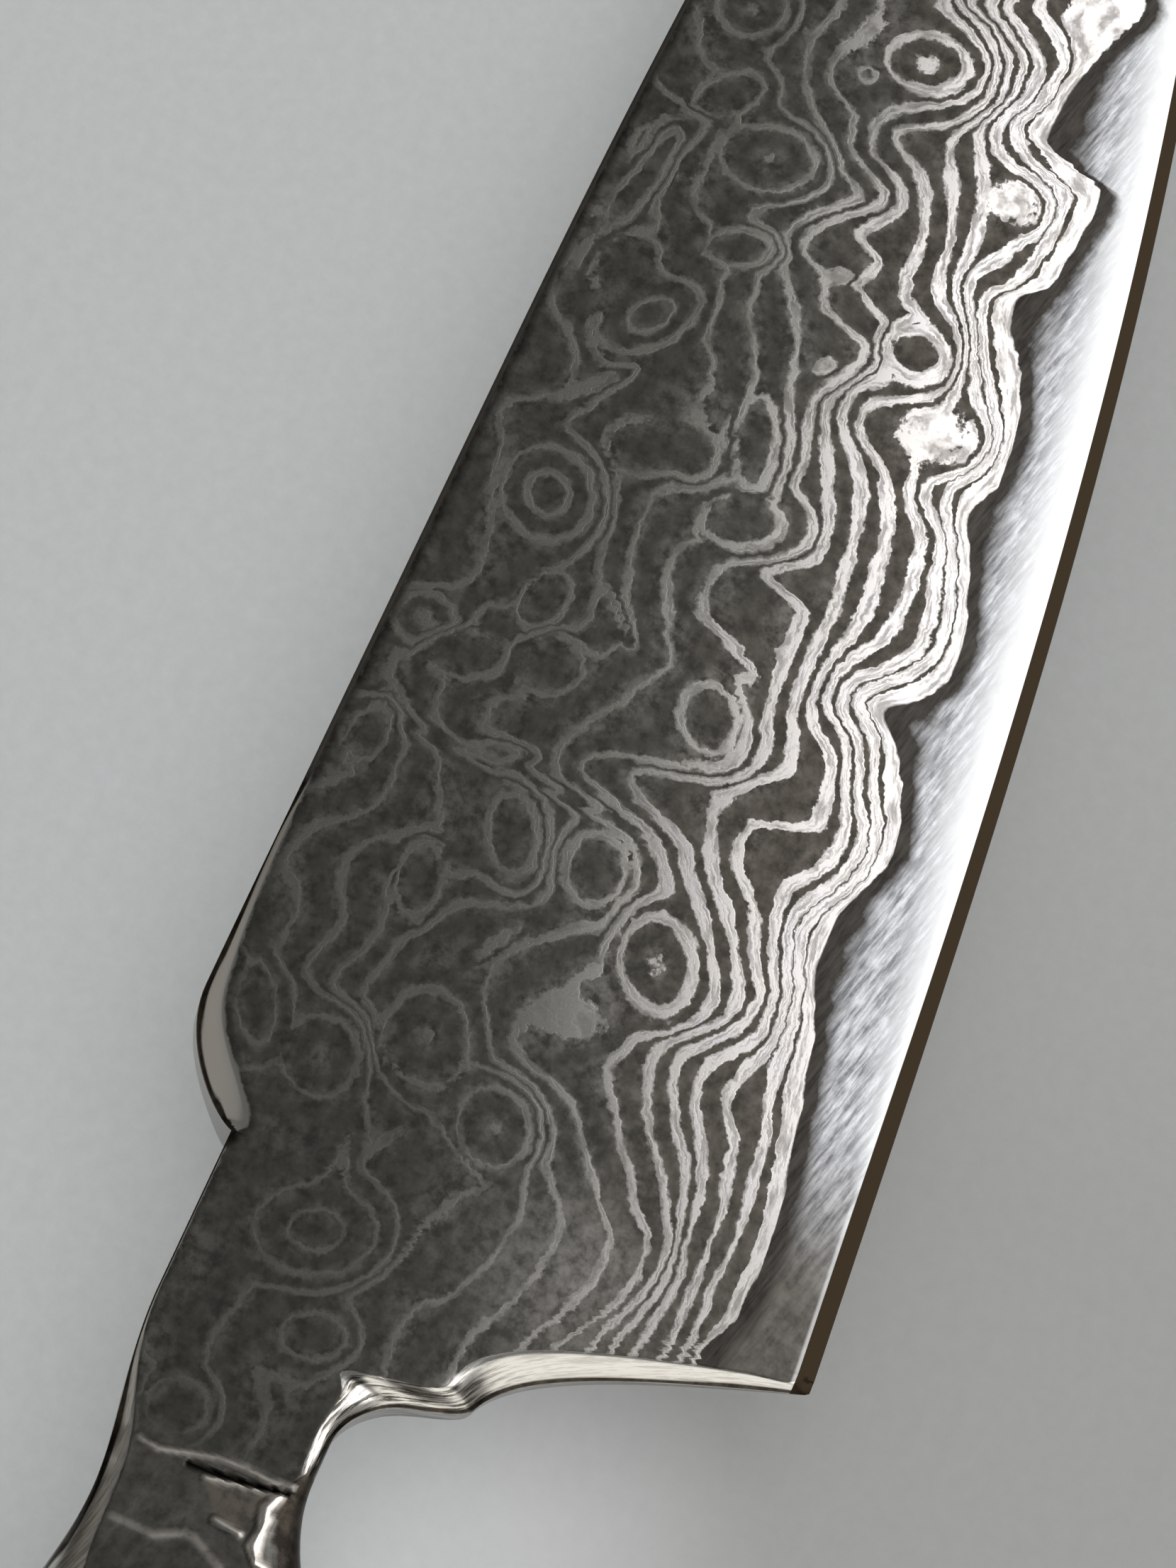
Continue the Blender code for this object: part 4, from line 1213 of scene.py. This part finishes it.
fibre = {
    "layer": 0.10,              # size of a pressed layer and of the fuzz, mm
    "fuzz": 0.25,
    "layerDepth": 0.02 * mm,
    "dark": "#161618",
    "light": "#29292b",
}

rivet = {
    "head": 3.8 * mm,           # radii and heights
    "headHeight": 1.8 * mm,
    "sleeve": 2.6 * mm,
    "pin": 1.5 * mm,
    "fit": 0.03 * mm,
    "rim": 0.07 * mm,
    "sides": 96,
    "steel": ("#a09e99", "#d4d2cc"),
}

mosaic = {
    "tube": 4.0 * mm,
    "wall": 0.6 * mm,
    "rod": 0.8 * mm,
    "ring": 2.2 * mm,
    "rods": 6,
    "fit": 0.02 * mm,
    "rim": 0.05 * mm,
    "brass": ("#8c6a35", "#d0aa64"),
    "copper": ("#7c4128", "#cb7c56"),
    "resin": ("#0c0c0d", "#17171a"),
}


def oiledWood():
    # Dark hardwood, sanded and oiled: long brown figure, fine open pores, a satin face
    material, add, place = newMaterial("hardwoodOiled")
    along = {"Vector": place, "Rotation": (0, 0, math.radians(wood["turn"])), "Scale": wood["stretch"]}
    along = add("Mapping", along, vector_type="TEXTURE")
    figure = grain(add, along, wood["figureSize"], 4, 0.55)
    fibres = grain(add, along, wood["fibreSize"], 3, 0.6, wood["fibreStretch"])
    level, across = [add("SeparateXYZ", [along], axis) for axis in "ZY"]
    rings = sumOf(add, (across, 1.0), (level, 0.6), (figure, wood["figureSway"]))
    rings = add("Math", [rings, 2 * math.pi / wood["ringEvery"]], operation="MULTIPLY")
    band = add("MapRange", [add("Math", [rings], operation="SINE"), -1, 1])
    tone = sumOf(add, (figure, 0.5), (band, 0.35), (fibres, 0.45))
    tone = add("MapRange", [tone, 0.40, 0.86])
    colour = add("Mix", {0: tone, 6: wood["dark"], 7: wood["light"]}, **colourMix)
    drawn = add("Mapping", {"Vector": place, "Scale": wood["poreStretch"]}, vector_type="TEXTURE")
    pores = add("TexVoronoi", {"Vector": drawn, "Scale": 1 / wood["poreSize"]}, "Distance")
    pores = add("MapRange", [pores, 0.22, 0.10])
    pores = add("Math", [pores, add("MapRange", [band, 0.3, 0.8])], operation="MULTIPLY")
    colour = add("Mix", {0: pores, 6: colour, 7: wood["pore"]}, **colourMix)
    height = sumOf(add, (fibres, 0.3), (pores, -1.0))
    normal = add("Bump", {"Height": height, "Strength": 0.35, "Distance": wood["poreDepth"]})
    roughness = sumOf(add, (add("MapRange", [fibres, 0.3, 0.7, 0.36, 0.46]), 1.0), (pores, 0.25))
    return shade(material, {"Base Color": colour, "Roughness": roughness, "Normal": normal})


def blackFibre():
    # Vulcanised fibre: a near-black sheet whose pressed layers show as faint lines on its sanded edge
    material, add, place = newMaterial("fibreBlackSanded")
    layers = grain(add, place, fibre["layer"], stretch=(30, 30, 1))
    fuzz = grain(add, place, fibre["fuzz"], 4, 0.7)
    tone = add("MapRange", [sumOf(add, (layers, 0.6), (fuzz, 0.6)), 0.4, 0.8])
    colour = add("Mix", {0: tone, 6: fibre["dark"], 7: fibre["light"]}, **colourMix)
    roughness = add("MapRange", [fuzz, 0.3, 0.7, 0.55, 0.72])
    normal = add("Bump", {"Height": layers, "Strength": 0.25, "Distance": fibre["layerDepth"]})
    return shade(material, {"Base Color": colour, "Roughness": roughness, "Normal": normal})


def groundMetal(name, colours, smooth, rough):
    # Metal ground flush with the wood and buffed: fine scratches along the grip, faintly clouded
    material, add, place = newMaterial(name)
    scratches = grain(add, place, 0.05, 3, 0.7, (40, 1, 1), 4)
    tone = sumOf(add, (grain(add, place, 1.1, 4, 0.6), 0.5), (scratches, 0.7))
    share = add("MapRange", [tone, 0.42, 0.72])
    colour = add("Mix", {0: share, 6: colours[0], 7: colours[1]}, **colourMix)
    roughness = add("MapRange", [tone, 0.4, 0.8, rough, smooth])
    normal = add("Bump", {"Height": scratches, "Strength": 0.12, "Distance": 0.004 * mm})
    return shade(material, {"Base Color": colour, "Roughness": roughness, "Normal": normal, "Metallic": 1.0})


def blackResin():
    # Casting resin, polished: near-black and glossy, with faint dust in it
    material, add, place = newMaterial("resinBlackPolished")
    dust = add("MapRange", [grain(add, place, 0.08, 2, 0.7), 0.45, 0.75])
    clear, dusty = mosaic["resin"]
    colour = add("Mix", {0: dust, 6: clear, 7: dusty}, **colourMix)
    roughness = add("MapRange", [grain(add, place, 0.6, 3), 0.3, 0.7, 0.18, 0.30])
    return shade(material, {"Base Color": colour, "Roughness": roughness})


def turned(name, profile, centre, material, ringShaped=False):
    # a profile of (radius, height) pairs turned round the centre; a ring's profile closes on itself
    profile = np.array(profile)
    angle = np.linspace(0, 2 * math.pi, rivet["sides"], endpoint=False)
    radius = np.maximum(profile[:, :1], 0.01 * mm)
    x = centre[0] + radius * np.cos(angle)
    y = centre[1] + radius * np.sin(angle)
    z = middleZ + profile[:, 1:] + 0 * angle
    points = np.stack([x, y, z], axis=-1)
    if not ringShaped:
        return tubeMesh(name, points, material, 30)
    index = np.arange(points.shape[0] * points.shape[1]).reshape(points.shape[:2])
    nextRow, nextSide = np.roll(index, -1, axis=0), np.roll(index, -1, axis=1)
    both = np.roll(nextRow, -1, axis=1)
    quads = np.stack([index, nextSide, both, nextRow], axis=-1).reshape(-1, 4)
    return meshFrom(name, points.reshape(-1, 3), quads, material, 30)


def drill(piece, cutters, sharp=30):
    # the cutters taken out of the piece, its mesh kept as the result, and the cutters removed
    for cutter in cutters:
        hole = piece.modifiers.new("hole", "BOOLEAN")
        hole.operation = "DIFFERENCE"
        hole.solver = "MANIFOLD"
        hole.object = cutter
    seen = bpy.context.evaluated_depsgraph_get()
    drilled = bpy.data.meshes.new_from_object(piece.evaluated_get(seen))
    piece.modifiers.clear()
    piece.data = drilled
    drilled.set_sharp_from_angle(angle=math.radians(sharp))
    for cutter in cutters:
        bpy.data.objects.remove(cutter)


def plug(centre, radius, low, high, material):
    # a plain cylinder between two heights, to cut a hole with
    return turned("cutter", [(0, low), (radius, low), (radius, high), (0, high)], centre, material)


def rodProfile(radius, half, rim):
    # half a rod's outline with its two rims worn
    return [(0, -half), (radius - rim, -half), (radius, rim - half),
            (radius, half - rim), (radius - rim, half), (0, half)]


def gripPlaces(front):
    # sections 1.2 mm apart, closer round the butt and at the front
    lead = front - np.array([0, 0.06, 0.3]) * mm
    straight = np.linspace(front - 1 * mm, handle["end"] + handle["butt"], 64)
    return np.sort(np.concatenate([lead, straight[:-1], buttPlaces(44)]))[::-1]


def scaleHalf(ahead, heights):
    # outer face: a quarter-circle corner all round, by each point's distance from the grip's outline
    edge = np.concatenate([ahead, buttPlaces(500)])
    end = np.linspace(heights[-1, 0], heights[-1, -1], 20)
    outline = [(edge, topLine(edge)), (edge, bottomLine(edge)), (np.full(20, ahead[-1]), end)]
    distance = np.full(heights.shape, 1.0)
    for along, up in outline:
        apart = np.hypot(ahead[:, None, None] - along, heights[:, :, None] - up)
        distance = np.minimum(distance, apart.min(axis=2))
    share = 1 - np.clip(distance / handle["corner"], 0, 1)
    return handle["thickness"] / 2 - handle["corner"] * (1 - np.sqrt(1 - share ** 2))


def makeSlab(name, side, inner, outer, material, front):
    # one scale or liner: the outer face is flat at a given distance, or rounded where none is given
    ahead = gripPlaces(front)
    heights = sectionHeights(ahead, handle["rowsCorner"], handle["rowsBody"])[0]
    face = scaleHalf(ahead, heights) if outer is None else outer + 0 * heights
    wall = inner + 0 * heights
    upper, lower = (face, wall) if side > 0 else (-wall, -face)
    return tubeMesh(name, ringPoints(ahead, heights, upper, lower), material, 30)


def makeRivet(node, centre, steelMade):
    # a sleeve in from the left face, and a pin driven into its bore from the right face
    z, fit, rim = handle["thickness"] / 2, rivet["fit"], rivet["rim"]
    head, sleeveWide, pinWide = rivet["head"], rivet["sleeve"], rivet["pin"]
    shoulder = z - rivet["headHeight"]
    bore = pinWide + fit
    sleeve = turned(node + "Sleeve", [
        (0, -z), (head - rim, -z), (head, rim - z), (head, -shoulder), (sleeveWide, -shoulder),
        (sleeveWide, shoulder - fit), (bore, shoulder - fit), (bore, -shoulder), (0, -shoulder),
    ], centre, steelMade)
    pin = turned(node + "Pin", [
        (0, -shoulder + fit), (pinWide, -shoulder + fit), (pinWide, shoulder), (head, shoulder),
        (head, z - rim), (head - rim, z), (0, z),
    ], centre, steelMade)
    seat(sleeve, node + "_sleeve")
    seat(pin, node + "_pin")


def makeMosaic(centre):
    # a brass tube round black resin, with six brass rods in a ring about a copper one
    z, rim, fit = handle["thickness"] / 2, mosaic["rim"], mosaic["fit"]
    outer, inner = mosaic["tube"], mosaic["tube"] - mosaic["wall"]
    brass = groundMetal("brassGroundFlush", mosaic["brass"], 0.18, 0.32)
    copper = groundMetal("copperGroundFlush", mosaic["copper"], 0.18, 0.32)
    tube = turned("mosaicTube", [
        (inner, rim - z), (inner + rim, -z), (outer - rim, -z), (outer, rim - z),
        (outer, z - rim), (outer - rim, z), (inner + rim, z), (inner, z - rim),
    ], centre, brass, ringShaped=True)
    seat(tube, "mosaic_tube")
    black = blackResin()
    resin = turned("mosaicResin", rodProfile(inner - fit, z, rim), centre, black)
    cutters = []
    for k in range(mosaic["rods"] + 1):
        angle = 2 * math.pi * (k - 1) / mosaic["rods"]
        reach = mosaic["ring"] if k else 0
        spot = (centre[0] + reach * math.cos(angle), centre[1] + reach * math.sin(angle))
        rod = turned(f"mosaicRod{k + 1}", rodProfile(mosaic["rod"], z, rim), spot, brass if k else copper)
        seat(rod, f"mosaic_rod_{k + 1}")
        cutters.append(plug(spot, mosaic["rod"] + fit / 2, -2 * z, 2 * z, black))
    drill(resin, cutters)
    seat(resin, "mosaic_resin")


def centreOf(node):
    boxLow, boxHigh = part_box(node)
    return ((boxLow.x + boxHigh.x) / 2, (boxLow.y + boxHigh.y) / 2)


def makeHandle(bladePiece):
    timber, sheet = oiledWood(), blackFibre()
    front = -blade["back"] - 0.05 * mm
    outer, glue = handle["linerOuter"], handle["glueLine"]
    slabs = {
        "right_scale": makeSlab("scaleRight", 1, outer + glue, None, timber, front),
        "left_scale": makeSlab("scaleLeft", -1, outer + glue, None, timber, front),
        "right_liner": makeSlab("linerRight", 1, handle["tangHalf"] + glue, outer, sheet, front),
        "left_liner": makeSlab("linerLeft", -1, handle["tangHalf"] + glue, outer, sheet, front),
    }
    spots = {node: centreOf(node + "_pin") for node in ("front_rivet", "rear_rivet")}
    middle = centreOf("mosaic_tube")
    z, fit = handle["thickness"], rivet["fit"]
    shoulder = z / 2 - rivet["headHeight"] - fit
    seats = {"right_scale": (shoulder, z), "left_scale": (-z, -shoulder)}
    for node, piece in [*slabs.items(), ("blade", bladePiece)]:
        own = piece.data.materials[0]
        cutters = [plug(middle, mosaic["tube"] + fit, -z, z, own)]
        for spot in spots.values():
            cutters.append(plug(spot, rivet["sleeve"] + fit, -z, z, own))
            if node in seats:
                cutters.append(plug(spot, rivet["head"] + fit, *seats[node], own))
        drill(piece, cutters, 35 if node == "blade" else 30)
        if node != "blade":
            seat(piece, node)
    ground = groundMetal("steelGroundFlush", rivet["steel"], 0.20, 0.34)
    for node, spot in spots.items():
        makeRivet(node, spot, ground)
    makeMosaic(middle)
    print("handle:", sum(len(piece.data.polygons) for piece in slabs.values()), "faces in scales and liners")


makeHandle(makeBlade())


# Paper on a table, and plain soft light

paper = {
    "floorSize": 4.0,
    "near": ("#c1c4c4", "#c8cbcb"),     # mottled between these near the light, and these in the painted shade away from it
    "away": ("#a7a8a6", "#acadab"),
    "mottle": 0.6,
    "turn": 73.4,                       # the painted shade darkens the paper past this angle to the blade, degrees
    "edge": (3 * mm, 13 * mm),
    "round": (200 * mm, 50 * mm),       # how far from the knife's middle the painted shade on the darker side reaches
    "tipward": (22 * mm, 42 * mm),
    "notch": (-9.5 * mm, 8 * mm),       # middle of the painted light on the paper, ahead and above the heel
    "paintedLightReach": (3 * mm, 11 * mm),
    "roughness": 0.9,
}


def paperWhite():
    # Uncoated white paper: an even matt grey-white with a faint mottle, darkened away from the light by
    # painted shade, and lightened in the notch under the choil by painted light
    material, add, place = newMaterial("paperUncoatedPaintedShade")
    rotated = add("Mapping", {"Vector": place, "Rotation": (0, 0, math.radians(paper["turn"]))})
    apart = add("VectorMath", [place], "Value", operation="LENGTH")
    # painted shade: darker past a line along the blade, fading out far from the knife and towards the tip
    shares = [
        add("MapRange", [add("SeparateXYZ", [rotated], "X"), *paper["edge"]]),
        add("MapRange", [apart, *paper["round"]]),
        add("MapRange", [add("SeparateXYZ", [place], "X"), *paper["tipward"], 1.0, 0.7]),
    ]
    far = productOf(add, *shares)
    low, high = [add("Mix", {0: far, 6: near, 7: away}, **colourMix)
                 for near, away in zip(paper["near"], paper["away"])]
    mottle = add("MapRange", [grain(add, place, paper["mottle"], 5, 0.7), 0.3, 0.7])
    colour = add("Mix", {0: mottle, 6: low, 7: high}, **colourMix)
    # painted light: the paper whitened round the notch under the choil
    notch = (heelX + paper["notch"][0], heelY + paper["notch"][1], 0)
    apart = add("VectorMath", [place, notch], "Value", operation="DISTANCE")
    paintedLight = add("MapRange", [apart, *paper["paintedLightReach"], 0.25, 0.0])
    colour = add("Mix", {0: paintedLight, 6: colour, 7: "#ffffff"}, **colourMix)
    return shade(material, {"Base Color": colour, "Roughness": paper["roughness"]})


corners = np.array([(-1, -1, 0), (1, -1, 0), (1, 1, 0), (-1, 1, 0)]) * paper["floorSize"] / 2
floor = meshFrom("floor", corners - [0, 0, 0.02 * mm], np.array([[0, 1, 2, 3]]), paperWhite())

lights = {
    # place, width and depth in metres, strength (1 is white), lights the paper, shows in the metal, colour
    "ceiling": ((-0.25, 0.35, 1.30), (1.6, 1.6), 0.35, True, False, "#ffffff"),
    "fill": ((0.20, -0.30, 1.40), (1.6, 1.6), 2.12, True, False, "#ffffff"),
    "window": ((0.42, -0.54, 0.62), (0.95, 0.75), 2.2, False, True, "#ffffff"),
    "choilCard": ((-0.45, -0.50, 0.52), (0.60, 0.60), 1.12, False, True, "#fffdf8"),
    "wall": ((-0.10, 0.90, 0.62), (0.90, 0.70), 0.16, False, True, "#efebe6"),
}
room = {
    "sky": "#6b6c6c",
    # each goes over into the one above between two heights, where 1 is straight up
    "below": [(0.35, 0.75, "#85827d"), (0.12, 0.40, "#3d3a37")],
}


def addPanel(name, location, size, strength, onPaper, inMetal, colour):
    # a rectangular soft light that faces the blade's heel: power is strength x pi x area. The fill lightens
    # shadows and casts none
    data = bpy.data.lights.new(name, "AREA")
    data.shape = "RECTANGLE"
    data.size, data.size_y = size
    data.energy = strength * math.pi * size[0] * size[1]
    data.color = linear(colour)[:3]
    data.use_shadow = name != "fill"
    lamp = bpy.data.objects.new(name, data)
    lamp.location = location
    aim = Vector((heelX, heelY, 0)) - Vector(location)
    lamp.rotation_euler = aim.to_track_quat("-Z", "Y").to_euler()
    lamp.visible_diffuse = onPaper
    lamp.visible_glossy = inMetal
    bpy.context.scene.collection.objects.link(lamp)


for name, settings in lights.items():
    addPanel(name, *settings)
world = bpy.data.worlds.new("room")
world.use_nodes = True
addSky = partial(addNode, world.node_tree)
skyward = addSky("SeparateXYZ", [addSky("TexCoord", output="Generated")], "Z")
sky = room["sky"]
for start, end, tint in room["below"]:
    share = addSky("MapRange", [skyward, start, end])
    sky = addSky("Mix", {0: share, 6: tint, 7: sky}, **colourMix)
connect(world.node_tree, world.node_tree.nodes["Background"], [sky])
bpy.context.scene.world = world
print("stage and lights set")
